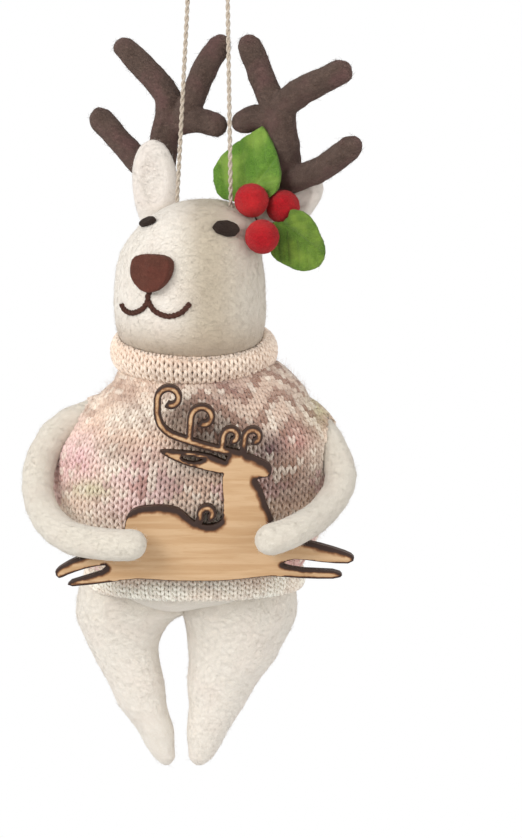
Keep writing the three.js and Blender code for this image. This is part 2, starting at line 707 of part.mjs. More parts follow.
// Plywood deer
// A leaping deer with scrolled antlers, cut by laser from thin plywood. Points are shares of its span.
const plateDrop = bodyHeight * 0.662;
const plateSide = bodyWidth * 0.0156;
const plateBack = sweaterHalf * sweaterDepthShare + seatGap;
const outlineShares = [
  [0.2546, 0.198], [0.247, 0.217], [0.21, 0.236], [0.17, 0.252], [0.135, 0.264], [0.108, 0.245], [0.092, 0.2],
  [0.088, 0.15], [0.092, 0.1], [0.09, 0.05], [0.084, 0.024], [0.055, 0.01], [0.02, 0.012], [-0.01, 0.024],
  [-0.035, 0.046], [-0.06, 0.065], [-0.1, 0.074], [-0.15, 0.074], [-0.195, 0.068], [-0.222, 0.052],
  [-0.236, 0.025], [-0.243, -0.01], [-0.275, -0.045], [-0.3607, -0.085], [-0.41, -0.106], [-0.447, -0.126],
  [-0.473, -0.148], [-0.4605, -0.17], [-0.43, -0.158], [-0.37, -0.137], [-0.305, -0.126], [-0.32, -0.15],
  [-0.42, -0.181], [-0.415, -0.198], [-0.29, -0.184], [-0.2, -0.172], [-0.1, -0.178], [0, -0.18],
  [0.1, -0.178], [0.18, -0.17], [0.25, -0.163], [0.35, -0.17], [0.46, -0.172], [0.4907, -0.16],
  [0.46, -0.145], [0.36, -0.14], [0.29, -0.125], [0.33, -0.105], [0.42, -0.115], [0.51, -0.12],
  [0.5306, -0.1], [0.5, -0.081], [0.42, -0.056], [0.3444, -0.038], [0.28, -0.016], [0.255, 0.039],
  [0.238, 0.08], [0.222, 0.13], [0.205, 0.158], [0.215, 0.17], [0.248, 0.176],
];
const earOutlineShares = [
  [0.12, 0.215], [0.05, 0.247], [-0.04, 0.26], [-0.12, 0.262], [-0.09, 0.238], [-0.03, 0.212], [0.05, 0.192],
  [0.1, 0.185],
];
const slitShares = [[0.027, 0.232], [-0.015, 0.245], [-0.046, 0.245], [-0.043, 0.231], [-0.005, 0.222]];
const beamShares = [
  [0.148, 0.249], [0.088, 0.264], [0.028, 0.278], [-0.032, 0.298], [-0.085, 0.3175], [-0.1185, 0.35],
  [-0.129, 0.39],
];
// Scrolls of the antlers, and one on the back: stem, middle, radius, first angle and turns as shares
const scrollShares = [
  { stem: [-0.129, 0.385], at: [-0.086, 0.437], radius: 0.0415, first: 0.5, turns: -0.84 },
  { stem: [-0.022, 0.293], at: [0.0246, 0.3735], radius: 0.0405, first: 0.5, turns: -0.84 },
  { stem: [0.086, 0.262], at: [0.12, 0.31], radius: 0.0275, first: 0.5, turns: -0.8 },
  { stem: [0.158, 0.252], at: [0.193, 0.308], radius: 0.0285, first: 0.5, turns: -0.8 },
  { stem: [0.004, 0.008], at: [0.039, 0.047], radius: 0.0265, first: 0.57, turns: -0.8 },
];
const stripHalfWidth = 0.74;
const scrollSteps = 16;
const innerRadiusShare = 0.5;
const plyPlace = new THREE.Matrix4()
  .makeRotationX(quarterTurn)
  .setPosition(inBody(plateSide, plateBack, -plateDrop));
const ply = (shape) =>
  solid(new THREE.ExtrudeGeometry(shape, { depth: plyThickness, bevelEnabled: false }), plyPlace);
const closedShape = (shares, perPoint) =>
  new THREE.Shape(line([...shares, shares[0]], deerSpan).getPoints(shares.length * perPoint).slice(0, -1));
// A strip of wood along a line of points
function strip(points) {
  const edge = (way) =>
    points.map((point, i) => {
      const ahead = points[Math.min(i + 1, points.length - 1)];
      const along = ahead.clone().sub(points[Math.max(i - 1, 0)]).normalize();
      return new THREE.Vector2(point.x - along.y * stripHalfWidth * way, point.y + along.x * stripHalfWidth * way);
    });
  return ply(new THREE.Shape([...edge(1), ...edge(-1).reverse()]));
}
function scroll({ stem, at, radius, first, turns }) {
  const curl = Array.from({ length: scrollSteps + 1 }, (_, i) => {
    const share = i / scrollSteps;
    const angle = (first + turns * share) * turn;
    const reach = radius * between(1, innerRadiusShare, share);
    return new THREE.Vector2(at[0] + reach * Math.cos(angle), at[1] + reach * Math.sin(angle));
  });
  const points = [new THREE.Vector2(...stem), ...curl].map((point) => point.multiplyScalar(deerSpan));
  return strip(points);
}
const slit = solid(
  new THREE.ExtrudeGeometry(closedShape(slitShares, 2), { depth: plyThickness + overrun, bevelEnabled: false })
    .translate(0, 0, -overrun / 2),
  plyPlace,
);
const plywoodDeer = cut(
  join(
    ply(closedShape(outlineShares, 2)),
    ply(closedShape(earOutlineShares, 2)),
    strip(line(beamShares, deerSpan).getPoints(12)),
    ...scrollShares.map(scroll),
  ),
  slit,
);

// Arms
// Felt tubes on one bent wire that runs from hand to hand through the shoulders.
const armSides = 12;
const armSteps = 22;
const armWireRadius = 0.6;
const armReach = { left: bodyWidth * 0.646, right: bodyWidth * 0.611 };
const handAhead = plateBack + plyThickness + seatGap * 3 + armRadius;
const handDrop = bodyHeight * 0.707;
// Out from the body's axis, ahead as a share of the hand's, and down as a share of the hand's drop
const armRoutes = {
  left: [
    [-0.3, 0, 0.36],
    [-0.62, 0, 0.37],
    [-0.85, 0.08, 0.44],
    [-0.98, 0.2, 0.6],
    [-0.99, 0.43, 0.81],
    [-0.81, 0.78, 0.97],
    [-0.5, 1, 1],
    [-0.275, 1, 1],
  ],
  right: [
    [0.3, 0, 0.34],
    [0.68, 0, 0.35],
    [0.9, 0.14, 0.5],
    [0.98, 0.36, 0.69],
    [0.87, 0.66, 0.85],
    [0.64, 0.97, 0.94],
    [0.41, 1, 1],
  ],
};
const armCurve = (side) =>
  through(
    armRoutes[side].map(([out, ahead, down]) =>
      inBody(out * armReach[side], ahead * handAhead, -down * handDrop),
    ),
  );
const armCurves = { left: armCurve("left"), right: armCurve("right") };
const armForm = (name, grow = 0) => limb(armCurves[name], () => armRadius, armSides, armSteps, grow);
const wireReach = (name) => armCurves[name].getPoints(16).slice(0, 16);
const armWireCurve = through([...wireReach("left").reverse(), ...wireReach("right")]);
const armWire = limb(armWireCurve, () => armWireRadius, 6, 40);
const armWireBore = limb(armWireCurve, () => armWireRadius + seatGap, 6, 40);
const arm = (name) => cut(armForm(name), torsoClearance, armWireBore);
const armClearances = { left: armForm("left", seatGap), right: armForm("right", seatGap) };

const sweaterBody = cut(
  shell(sweaterLevels(0), sweaterLevels(-knitThickness)),
  ...Object.values(armClearances),
  headClearance,
  collarClearance,
);

const group = new THREE.Group();
group.add(
  node("twine_loop", hangingLoop, twineFibre),
  node("twine_knot", twineKnot, twineFibre),
  node("twine_crown_stitch", crownStitch, twineFibre),
  node("head", cut(headForm(), stitchBore, leftAntler.bores[0], rightAntler.bores[0], armWireBore), creamFelt),
  node("nose", nose, noseFelt),
  node("mouth_thread", mouth, noseFelt),
  node("left_eye", leftEye, eyeFelt),
  node("right_eye", rightEye, eyeFelt),
  node("left_ear", leftEar, creamFelt),
  node("right_ear", rightEar, creamFelt),
  node("left_antler_beam", leftAntler.beam, brownFelt),
  node("left_antler_inner_tine", leftAntler.inner, brownFelt),
  node("left_antler_brow_tine", leftAntler.brow, brownFelt),
  node("left_antler_cross_tine", leftAntler.cross, brownFelt),
  node("left_antler_wire", leftAntler.wire, bareWire),
  node("right_antler_beam", rightAntler.beam, brownFelt),
  node("right_antler_inner_tine", rightAntler.inner, brownFelt),
  node("right_antler_brow_tine", rightAntler.brow, brownFelt),
  node("right_antler_cross_tine", rightAntler.cross, brownFelt),
  node("right_antler_wire", rightAntler.wire, bareWire),
  node("holly_leaf_upper", upperLeaf, greenFelt),
  node("holly_leaf_lower", lowerLeaf, greenFelt),
  ...berries,
  node("torso", cut(torsoForm(), headClearance, armWireBore), creamFelt),
  node("left_leg", leftLeg, creamFelt),
  node("right_leg", rightLeg, creamFelt),
  node("left_arm", arm("left"), creamFelt),
  node("right_arm", arm("right"), creamFelt),
  node("arm_wire", armWire, bareWire),
  node("sweater_body", sweaterBody, knitYarn),
  node("sweater_collar", collar, creamYarn),
  node("sweater_hem", hem, creamYarn),
  node("wooden_deer", plywoodDeer, plywood),
);
export default group;
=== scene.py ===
# A felt reindeer that hangs from a loop of twine. It wears a knitted sweater and hugs a wooden deer.
import math

import bmesh
import bpy
import numpy as np
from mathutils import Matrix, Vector, geometry, noise
from mathutils.bvhtree import BVHTree


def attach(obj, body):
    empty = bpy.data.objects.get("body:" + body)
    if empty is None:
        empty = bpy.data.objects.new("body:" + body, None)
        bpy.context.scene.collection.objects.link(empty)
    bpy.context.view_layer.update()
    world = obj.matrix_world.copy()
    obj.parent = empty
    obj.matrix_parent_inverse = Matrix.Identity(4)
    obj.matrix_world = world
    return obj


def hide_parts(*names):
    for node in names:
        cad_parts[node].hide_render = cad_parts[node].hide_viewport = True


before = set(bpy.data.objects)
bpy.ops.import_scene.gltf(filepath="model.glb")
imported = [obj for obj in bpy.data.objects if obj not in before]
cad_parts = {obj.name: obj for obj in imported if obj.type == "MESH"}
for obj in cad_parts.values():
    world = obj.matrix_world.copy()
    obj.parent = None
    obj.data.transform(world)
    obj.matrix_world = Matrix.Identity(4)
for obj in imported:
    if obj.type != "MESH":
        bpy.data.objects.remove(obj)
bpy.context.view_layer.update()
scene = bpy.context.scene
MM = 0.001


# The camera stands at the photograph's place: square to the toy and a little above it, with a long lens.
photo_height = 838
mm_per_pixel = 0.21
camera_distance = 650 * MM
camera_tilt = math.radians(8)
looked_at = Vector((10.9, 0, -96.4)) * MM
away = Vector((0, -math.cos(camera_tilt), math.sin(camera_tilt)))
camera_data = bpy.data.cameras.new("camera")
half_view = math.atan(photo_height * mm_per_pixel * MM / 2 / camera_distance)
camera_data.lens = camera_data.sensor_width / 2 / math.tan(half_view)
camera = bpy.data.objects.new("camera", camera_data)
scene.collection.objects.link(camera)
camera.location = looked_at + away * camera_distance
camera.rotation_mode = "QUATERNION"
camera.rotation_quaternion = (-away).to_track_quat("-Z", "Y")
scene.camera = camera


# The hanging loop is one length of jute twine, two plies laid up together. It goes from the left hole in
# the crown over the hook to the right hole. The toy's weight pulls it taut.
head_turn = math.radians(28)
loop_height = 50.7
crown_slip = 1.13
hole_span = 12.8
bight_radius, bight_points = 4.5, 9
strand_shares = (1.03, 0.65, 0.3)
twine_diameter = 1.0
plies = 2
ply_radius = twine_diameter * 0.27
ply_offset = twine_diameter * 0.23
ply_sides = 8
lay_length = 3.4
loop_steps = 360


def gone_along(line):
    """How far along a line each of its points is."""
    return np.concatenate([[0], np.cumsum(np.linalg.norm(np.diff(line, axis=0), axis=1))])


def through(points, steps):
    """Points of a smooth line through the given ones, evenly spaced."""
    parts_between = 24
    p = np.array(points, float)
    p = np.vstack([2 * p[0] - p[1], p, 2 * p[-1] - p[-2]])
    t = np.linspace(0, 1, parts_between, endpoint=False)[:, None]
    fine = []
    for a, b, c, d in zip(p, p[1:], p[2:], p[3:]):
        bend, twist = 2 * a - 5 * b + 4 * c - d, 3 * b - a - 3 * c + d
        fine.append(0.5 * (2 * b + (c - a) * t + bend * t**2 + twist * t**3))
    line = np.vstack([*fine, p[-2]])
    gone = gone_along(line)
    wanted = np.linspace(0, gone[-1], steps + 1)
    return np.stack([np.interp(wanted, gone, line[:, k]) for k in range(3)], axis=1)


def carried_frames(line):
    """Two directions across a line at each of its points, turned as little as can be."""
    along = np.gradient(line, axis=0)
    along /= np.linalg.norm(along, axis=1)[:, None]
    side = np.cross(along[0], (0, 0, 1) if abs(along[0][2]) < 0.9 else (0, 1, 0))
    sides = []
    for way in along:
        side = side - way * (side @ way)
        side /= np.linalg.norm(side)
        sides.append(side)
    return np.array(sides), np.cross(along, sides)


def rings_round(line, first, second, radius, sides):
    """Corners of a ring round each point of a line, in two directions across it."""
    angle = np.arange(sides) * math.tau / sides
    ring = first[:, None] * np.cos(angle)[None, :, None] + second[:, None] * np.sin(angle)[None, :, None]
    return (line[:, None] + ring * radius).reshape(-1, 3)


def walls_between(rings, sides, closed=False):
    """Faces between rings of corners. In a closed run the last ring is joined to the first."""
    i, k = np.meshgrid(np.arange(rings if closed else rings - 1), np.arange(sides), indexing="ij")
    j, n = (i + 1) % rings, (k + 1) % sides
    return np.stack([i * sides + k, j * sides + k, j * sides + n, i * sides + n], axis=-1).reshape(-1, 4)


def tube(line, radius, sides):
    """Corners and faces of a closed tube along a line, in the line's own units."""
    walls = walls_between(len(line), sides)[:, [0, 3, 2, 1]].tolist()
    last = (len(line) - 1) * sides
    ends = [list(range(sides))[::-1], list(range(last, last + sides))]
    return rings_round(line, *carried_frames(line), radius, sides), walls + ends


def gathered(parts):
    """Several (corners, faces) as one."""
    corners, faces, start = [], [], 0
    for some, of_them in parts:
        corners.append(some)
        faces += [[start + c for c in face] for face in of_them]
        start += len(some)
    return np.vstack(corners), faces


def laid_up(line, ply, offset, lay):
    """Two plies that wind round a line."""
    first, second = carried_frames(line)
    strands = []
    for k in range(plies):
        angle = (gone_along(line) / lay + k / plies) * math.tau
        middle = line + (first * np.cos(angle)[:, None] + second * np.sin(angle)[:, None]) * offset
        strands.append(tube(middle, ply, ply_sides))
    return gathered(strands)


def put_in(name, mesh, material, body, slot, *nodes):
    """Puts a mesh in the scene, riding on a body in place of the named solids."""
    mesh.materials.clear()
    mesh.materials.append(material)
    made = bpy.data.objects.new(name, mesh)
    scene.collection.objects.link(made)
    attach(made, body)
    if nodes:
        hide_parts(*nodes)
    return made


def piece(name, corners, faces, material, body, slot, *nodes):
    """A smooth piece from corners in millimetres."""
    mesh = bpy.data.meshes.new(name)
    mesh.from_pydata((np.asarray(corners) * MM).tolist(), [], faces)
    mesh.shade_smooth()
    return put_in(name, mesh, material, body, slot, *nodes)


def add(tree, kind, inputs=None, **settings):
    """A shader node with its settings, values and links."""
    made = tree.nodes.new(kind)
    for name, value in settings.items():
        setattr(made, name, value)
    for name, value in (inputs or {}).items():
        if isinstance(value, bpy.types.NodeSocket):
            tree.links.new(value, made.inputs[name])
        else:
            made.inputs[name].default_value = value
    return made


def effect(name, takes, gives):
    """An empty shader node group with named inputs and outputs."""
    group = bpy.data.node_groups.new(name, "ShaderNodeTree")
    kinds = {"colour": "NodeSocketColor", "value": "NodeSocketFloat"}
    for label, (kind, value) in takes.items():
        made = group.interface.new_socket(label, in_out="INPUT", socket_type=kinds[kind])
        made.default_value = value
    for label, kind in gives.items():
        group.interface.new_socket(label, in_out="OUTPUT", socket_type=kinds[kind])
    return group, add(group, "NodeGroupInput").outputs, add(group, "NodeGroupOutput").inputs


def place_effect(tree, group, **values):
    return add(tree, "ShaderNodeGroup", values, node_tree=group).outputs


def in_millimetres(tree):
    """The point on the piece, in millimetres, in the piece's own frame."""
    here = add(tree, "ShaderNodeTexCoord").outputs["Object"]
    per_mm = (1 / MM,) * 3
    return add(tree, "ShaderNodeVectorMath", {0: here, 1: per_mm}, operation="MULTIPLY").outputs[0]


def cloud(tree, where, scale, detail, **more):
    """Soft noise from 0 to 1."""
    values = {"Vector": where, "Scale": scale, "Detail": detail, **more}
    return add(tree, "ShaderNodeTexNoise", values).outputs[0]


def sums(tree, operation, first, second):
    return add(tree, "ShaderNodeMath", {0: first, 1: second}, operation=operation).outputs[0]


def eased(tree, value, low, high, low_out=0.0, high_out=1.0):
    """A value carried smoothly from one range to another."""
    settings = {"Value": value, "From Min": low, "From Max": high, "To Min": low_out, "To Max": high_out}
    return add(tree, "ShaderNodeMapRange", settings, interpolation_type="SMOOTHSTEP").outputs["Result"]


def blended(tree, share, first, second):
    return add(tree, "ShaderNodeMix", {0: share, 6: first, 7: second}, data_type="RGBA").outputs[2]


def finish(name, roughness, sheen=0.0, sheen_tint=(1, 1, 1), specular=0.25):
    """A material whose shader is still to be wired, with the values that are the same all over it."""
    material = bpy.data.materials.new(name)
    material.use_nodes = True
    tree = material.node_tree
    shader = tree.nodes["Principled BSDF"]
    shader.inputs["Roughness"].default_value = roughness
    shader.inputs["Specular IOR Level"].default_value = specular
    shader.inputs["Sheen Weight"].default_value = sheen
    shader.inputs["Sheen Tint"].default_value = (*sheen_tint, 1)
    return material, tree, shader


def raised(tree, shader, height, depth_mm):
    """Bump from a height of 0 to 1 that stands for a depth in millimetres."""
    bump = add(tree, "ShaderNodeBump", {"Strength": 1.0, "Distance": depth_mm * MM, "Height": height})
    tree.links.new(bump.outputs[0], shader.inputs["Normal"])


def colour(r, g, b):
    """A colour given as it looks on a screen, 0 to 255, as the shader's own values."""
    shown = (c / 255 for c in (r, g, b))
    return tuple(c / 12.92 if c < 0.04045 else ((c + 0.055) / 1.055) ** 2.4 for c in shown) + (1,)


# Streaks of fibre that run along the twisted strand, in tones of their own, with painted shade that darkens
# them in the grooves
jute, jute_tree, jute_shader = finish("jute twine", 0.9, sheen=0.15, specular=0.2)
spot = in_millimetres(jute_tree)
streaks = cloud(jute_tree, spot, 6.5, 4.0, Roughness=0.7)
flecks = cloud(jute_tree, spot, 1.3, 2.0)
straw = blended(jute_tree, eased(jute_tree, streaks, 0.3, 0.7), colour(160, 144, 126), colour(222, 210, 194))
straw = blended(jute_tree, eased(jute_tree, flecks, 0.45, 0.75, 0.0, 0.5), straw, colour(180, 160, 138))
jute_tree.links.new(straw, jute_shader.inputs["Base Color"])
raised(jute_tree, jute_shader, streaks, 0.12)


def turned_with_head(out, ahead):
    """Across and back, from how far out along the line between the holes and how far ahead of it."""
    c, s = math.cos(head_turn), math.sin(head_turn)
    return out * c - ahead * s, -out * s - ahead * c


def in_loop(points):
    return [(*turned_with_head(out, -back), rise) for out, back, rise in points]


def strand_point(side, share):
    """A point some share of the way down the left strand (side -1) or the right one (side 1)."""
    top, foot = side * bight_radius, side * hole_span / 2 - crown_slip
    return (top + (foot - top) * share, 0, -bight_radius - (loop_height - bight_radius) * share)


bight_middle = twine_diameter / 2 - bight_radius
bight = [(-bight_radius * math.cos(a), 0, bight_middle + bight_radius * math.sin(a))
         for a in np.linspace(0, math.pi, bight_points)]
left_strand, right_strand = ([strand_point(side, s) for s in strand_shares] for side in (-1, 1))
loop_line = through(in_loop(left_strand + bight + right_strand[::-1]), loop_steps)
loop = piece("hanging_loop", *laid_up(loop_line, ply_radius, ply_offset, lay_length), jute, "hanging_loop",
             "jute_twine", "twine_loop")


# The knot is the twine's two ends wound three times round the right strand, just under the hook. A short
# tail stands off it at each end.
knot_turns, knot_turn_points, knot_steps = 3, 12, 300
knot_pitch = 1.3
knot_radius = 1.42
knot_share = 0.005  # of the way down the strand
tail_length, tail_lean, tail_lift = 6, 0.45, 0.1
knot_middle = np.array(strand_point(1, knot_share))
knot_top = knot_turns * knot_pitch / 2
winds = [knot_middle + (knot_radius * math.cos(a), knot_radius * math.sin(a),
                        knot_top - knot_pitch * a / math.tau)
         for a in np.linspace(0, knot_turns * math.tau, knot_turns * knot_turn_points + 1)]
tails = [[end + (knot_radius * tail_lean, way * tail_length / 3, tail_length * tail_lift),
          end + (tail_length * tail_lean, way * tail_length, tail_length * tail_lift)]
         for end, way in ((winds[0], -1), (winds[-1], 1))]
knot_line = through(in_loop([*tails[0][::-1], *winds, *tails[1]]), knot_steps)
piece("loop_knot", *laid_up(knot_line, ply_radius, ply_offset, lay_length), jute, "hanging_loop",
      "jute_twine", "twine_knot")


# The stitch under the crown's wool is the same twine. It joins the two holes, and shows as its solid does.
stitch_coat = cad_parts["twine_crown_stitch"].data.materials
stitch_coat.clear()
stitch_coat.append(jute)


# Needle-felted wool: fibres that lie every way and are matted together, with shallow lumps and small
# pricks where the needle went in. Its hollows are painted darker, as shade. The same effect serves every
# felted piece, in its own colours.
def needled_wool():
    group, takes, gives = effect(
        "needled wool",
        {"Wool": ("colour", (0.8, 0.8, 0.8, 1)), "Hollow shade": ("colour", (0.6, 0.6, 0.6, 1)),
         "Tint": ("colour", (0.8, 0.7, 0.7, 1)), "Tint share": ("value", 0.3), "Fineness": ("value", 1.0)},
        {"Color": "colour", "Height": "value", "Roughness": "value"})
    spot = in_millimetres(group)
    drift = add(group, "ShaderNodeTexNoise", {"Vector": spot, "Scale": 0.9, "Detail": 2.0}).outputs["Color"]
    drift = add(group, "ShaderNodeVectorMath", {0: drift, 1: (2, 2, 2), 2: spot}, operation="MULTIPLY_ADD")
    finer = {0: drift.outputs[0], "Scale": takes["Fineness"]}
    drift = add(group, "ShaderNodeVectorMath", finer, operation="SCALE").outputs[0]
    lying = []
    for rotation in ((0.5, 0.3, 0.9), (1.3, -0.8, -0.4), (-0.6, 1.1, 0.2)):
        lay = {"Vector": drift, "Rotation": rotation, "Scale": (1.0, 8.0, 8.0)}
        lying.append(cloud(group, add(group, "ShaderNodeMapping", lay).outputs[0], 1.0, 2.0))
    fibres = sums(group, "MAXIMUM", lying[0], sums(group, "MAXIMUM", lying[1], lying[2]))
    fibres = eased(group, fibres, 0.46, 0.76)
    lumps = cloud(group, spot, 0.3, 1.0)
    pricks = add(group, "ShaderNodeTexVoronoi", {"Vector": drift, "Scale": 0.9}).outputs["Distance"]
    pricks = eased(group, pricks, 0.03, 0.26)
    height = sums(group, "ADD", sums(group, "MULTIPLY", fibres, 0.5), sums(group, "MULTIPLY", lumps, 0.2))
    height = sums(group, "ADD", height, sums(group, "MULTIPLY", pricks, 0.12))
    # Painted shade: the wool's low places take the darker colour of its hollows
    shown = blended(group, eased(group, height, 0.1, 0.62), takes["Hollow shade"], takes["Wool"])
    patches = eased(group, cloud(group, spot, 0.16, 3.0), 0.4, 0.7)
    patches = sums(group, "MULTIPLY", patches, takes["Tint share"])
    group.links.new(blended(group, patches, shown, takes["Tint"]), gives["Color"])
    group.links.new(height, gives["Height"])
    group.links.new(eased(group, fibres, 0, 1, 0.98, 0.86), gives["Roughness"])
    return group


wool = needled_wool()


def felt_on(tree, shader, face, hollow_shade, tint, tint_share=0.3, fineness=1.0, depth_mm=0.12):
    """Wires the wool effect into a material: the fibres' colour, the hollows' painted shade, that of faint
    patches.
    """
    values = {"Wool": face, "Hollow shade": hollow_shade, "Tint": tint, "Tint share": tint_share, "Fineness": fineness}
    made = place_effect(tree, wool, **values)
    tree.links.new(made["Color"], shader.inputs["Base Color"])
    tree.links.new(made["Roughness"], shader.inputs["Roughness"])
    raised(tree, shader, made["Height"], depth_mm)


def wool_finish(name, *colours, sheen=0.3, sheen_tint=(1, 1, 1), **values):
    material, tree, shader = finish(name, 0.95, sheen=sheen, sheen_tint=sheen_tint, specular=0.15)
    felt_on(tree, shader, *colours, **values)
    return material


def corners_of(mesh):
    """A mesh's corners, in millimetres."""
    found = np.empty(len(mesh.vertices) * 3)
    mesh.vertices.foreach_get("co", found)
    return found.reshape(-1, 3) / MM


def move_corners(mesh, corners):
    mesh.vertices.foreach_set("co", (corners * MM).ravel())


def felted(name, nodes, material, slot, grain, lumps, lump_size, rounds, swell=0.0):
    """One piece of matted wool in the place of some solids: their skins joined, softened and lumpy."""
    together = bmesh.new()
    for node in nodes:
        together.from_mesh(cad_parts[node].data)
    bmesh.ops.remove_doubles(together, verts=together.verts, dist=0.001 * MM)
    mesh = bpy.data.meshes.new(name)
    together.to_mesh(mesh)
    together.free()
    rough = bpy.data.objects.new(name, mesh)
    scene.collection.objects.link(rough)
    if swell:
        fuller = rough.modifiers.new("fuller", "DISPLACE")
        fuller.strength = swell * MM
        fuller.mid_level = 0
    matted = rough.modifiers.new("matted", "REMESH")
    matted.mode = "VOXEL"
    matted.voxel_size = grain * MM
    soft = rough.modifiers.new("soft", "SMOOTH")
    soft.factor = 0.5
    soft.iterations = rounds
    bpy.context.view_layer.update()
    seen = rough.evaluated_get(bpy.context.evaluated_depsgraph_get())
    mesh = bpy.data.meshes.new_from_object(seen)
    bpy.data.objects.remove(rough)
    outward = np.empty(len(mesh.vertices) * 3)
    mesh.vertex_normals.foreach_get("vector", outward)
    corners = corners_of(mesh)
    broad, narrow = corners / lump_size, corners / (lump_size * 0.4)
    push = np.array([noise.noise(b) + 0.15 * noise.noise(n) for b, n in zip(broad, narrow)]) * lumps
    move_corners(mesh, corners + outward.reshape(-1, 3) * push[:, None])
    mesh.shade_smooth()
    return put_in(name, mesh, material, "ornament", slot, *nodes)


def skin_of(made):
    """A tree for finding the nearest point of a piece's surface."""
    skin = bmesh.new()
    skin.from_mesh(made.data)
    found = BVHTree.FromBMesh(skin)
    skin.free()
    return found


def fuzz(name, host, material, slot, per_mm2, length, lift, seed, rise=0.0):
    """Loose ends of fibre that stand off a piece of wool, each a fine closed spike that curls as it rises."""
    thickness = 0.03
    chance = np.random.default_rng(seed)
    mesh = host.data
    mesh.calc_loop_triangles()
    corners = corners_of(mesh)
    three = np.empty(len(mesh.loop_triangles) * 3, int)
    mesh.loop_triangles.foreach_get("vertices", three)
    a, b, c = (corners[three.reshape(-1, 3)[:, k]] for k in range(3))
    outward = np.cross(b - a, c - a)
    area = np.linalg.norm(outward, axis=1) / 2
    count = int(area.sum() * per_mm2)
    pick = chance.choice(len(area), count, p=area / area.sum())
    s, t = chance.random((2, count, 1))
    s, t = np.where(s + t > 1, 1 - s, s), np.where(s + t > 1, 1 - t, t)
    root = a[pick] + s * (b - a)[pick] + t * (c - a)[pick]
    normal = outward[pick] / (2 * area[pick])[:, None]
    lying = np.cross(normal, chance.normal(size=(count, 3)))
    lying /= np.linalg.norm(lying, axis=1)[:, None]
    side = np.cross(lying, normal)
    bend = np.cross(normal, lying) * chance.normal(0, 0.45, (count, 1))
    reach = length * chance.uniform(0.4, 1.3, (count, 1))
    stands = lift * chance.uniform(0.15, 1.0, (count, 1)) ** 1.5
    rings = []
    for share in (0, 0.33, 0.66, 1.0):
        middle = root + reach * (lying * share + bend * share**2)
        middle += normal * (stands * share**1.3 + rise - thickness)
        width = thickness * (1 - share * 0.75)
        rings += [middle + width * (side * math.cos(k) + normal * math.sin(k)) for k in (0.5, 2.6, 4.7)]
    spikes = np.stack(rings, axis=1).reshape(-1, 3)
    ring = np.array([(0, 1, 4, 3), (1, 2, 5, 4), (2, 0, 3, 5)])
    walls = np.vstack([ring, ring + 3, ring + 6])
    starts = np.arange(count)[:, None, None] * len(rings)
    faces = (walls + starts).reshape(-1, 4).tolist()
    faces += (np.array([(2, 1, 0), (9, 10, 11)]) + starts).reshape(-1, 3).tolist()
    return piece(name, spikes, faces, material, "ornament", slot)


# The head is a firm ball of cream wool, drawn in under the chin and turned to look to one side. Its wool
# is painted with shade: greyer down the middle of the face and browner under the chin.
cream_tones = [colour(246, 239, 228), colour(236, 226, 212), colour(242, 228, 216)]
mid_face_shade_tones = [colour(201, 188, 166), colour(190, 176, 155), colour(194, 178, 157)]
chin_shade_tones = [colour(196, 177, 154), colour(184, 165, 142), colour(188, 166, 145)]
face_wool, face_tree, face_shader = finish("head wool", 0.95, sheen=0.3, specular=0.15)
spot = add(face_tree, "ShaderNodeSeparateXYZ", {0: in_millimetres(face_tree)}).outputs
# Painted shade: greyer down the middle of the face, and browner under the chin
painted_mid_face_shade = sums(face_tree, "MULTIPLY", eased(face_tree, spot["X"], -9, 0),
              eased(face_tree, spot["X"], 1, 9, 1.0, 0.5))
painted_chin_shade = eased(face_tree, spot["Z"], -72, -82)
face_tones = [blended(face_tree, painted_chin_shade, blended(face_tree, painted_mid_face_shade, first, second), under_chin)
              for first, second, under_chin in zip(cream_tones, mid_face_shade_tones, chin_shade_tones)]
felt_on(face_tree, face_shader, *face_tones)
head = felted("head_wool", ["head"], face_wool, "cream_felt", grain=0.42, lumps=0.12, lump_size=5.5,
              rounds=14)
head_skin = skin_of(head)
fuzz("head_fuzz", head, face_wool, "cream_felt", per_mm2=1.2, length=1.5, lift=0.5, seed=3)


def head_point(out, ahead, rise):
    """A point of the head's own frame: out along the holes' line, ahead the way the face looks, and up."""
    return Vector((*turned_with_head(out - crown_slip, ahead), rise - loop_height))


# The nose is a pad of russet wool and the eyes are almonds of dark wool, all needled on. The mouth is a
# line of dark twisted yarn, caught down into the wool: a stem below the nose, and two curls.
russet = wool_finish("russet wool", colour(106, 66, 54), colour(74, 42, 34), colour(116, 62, 52),
                     tint_share=0.4, fineness=1.3, sheen=0.1, sheen_tint=(0.8, 0.5, 0.4))
nose = felted("nose_wool", ["nose"], russet, "nose_felt", grain=0.2, lumps=0.1, lump_size=3, rounds=26,
              swell=0.45)
fuzz("nose_fuzz", nose, russet, "nose_felt", per_mm2=1.8, length=0.8, lift=0.3, seed=4)
dark = wool_finish("dark eye wool", colour(58, 44, 38), colour(30, 22, 19), colour(66, 54, 46),
                   tint_share=0.4, fineness=1.6, sheen=0.12, sheen_tint=(0.5, 0.45, 0.4))
for side in ("left", "right"):
    felted(f"{side}_eye_wool", [f"{side}_eye"], dark, "eye_felt", grain=0.2, lumps=0.05, lump_size=2,
           rounds=22, swell=0.25)

mouth_wool = wool_finish("mouth yarn", colour(92, 60, 50), colour(60, 36, 30), colour(100, 62, 54),
                         fineness=1.5, sheen=0.1, sheen_tint=(0.7, 0.5, 0.4))
mouth_ply_radius, mouth_ply_offset, mouth_lay = 0.38, 0.25, 1.9
mouth_steps = 44
mouth_aside, mouth_rise = -3.79, -20.08
well_ahead = 40  # of the face
stem_top, stem_foot = (0.99, 3.4), (0, -0.3)
smile_half_width, smile_drop = 8.2, 2.4
smile_start = (0, 0.6)
curl_shares = {"left": [(-0.18, -0.5), (-0.52, -0.92), (-0.8, -0.72), (-0.93, -0.3)],
               "right": [(0.2, -0.6), (0.56, -1), (0.88, -0.66), (1.08, 0.1)]}


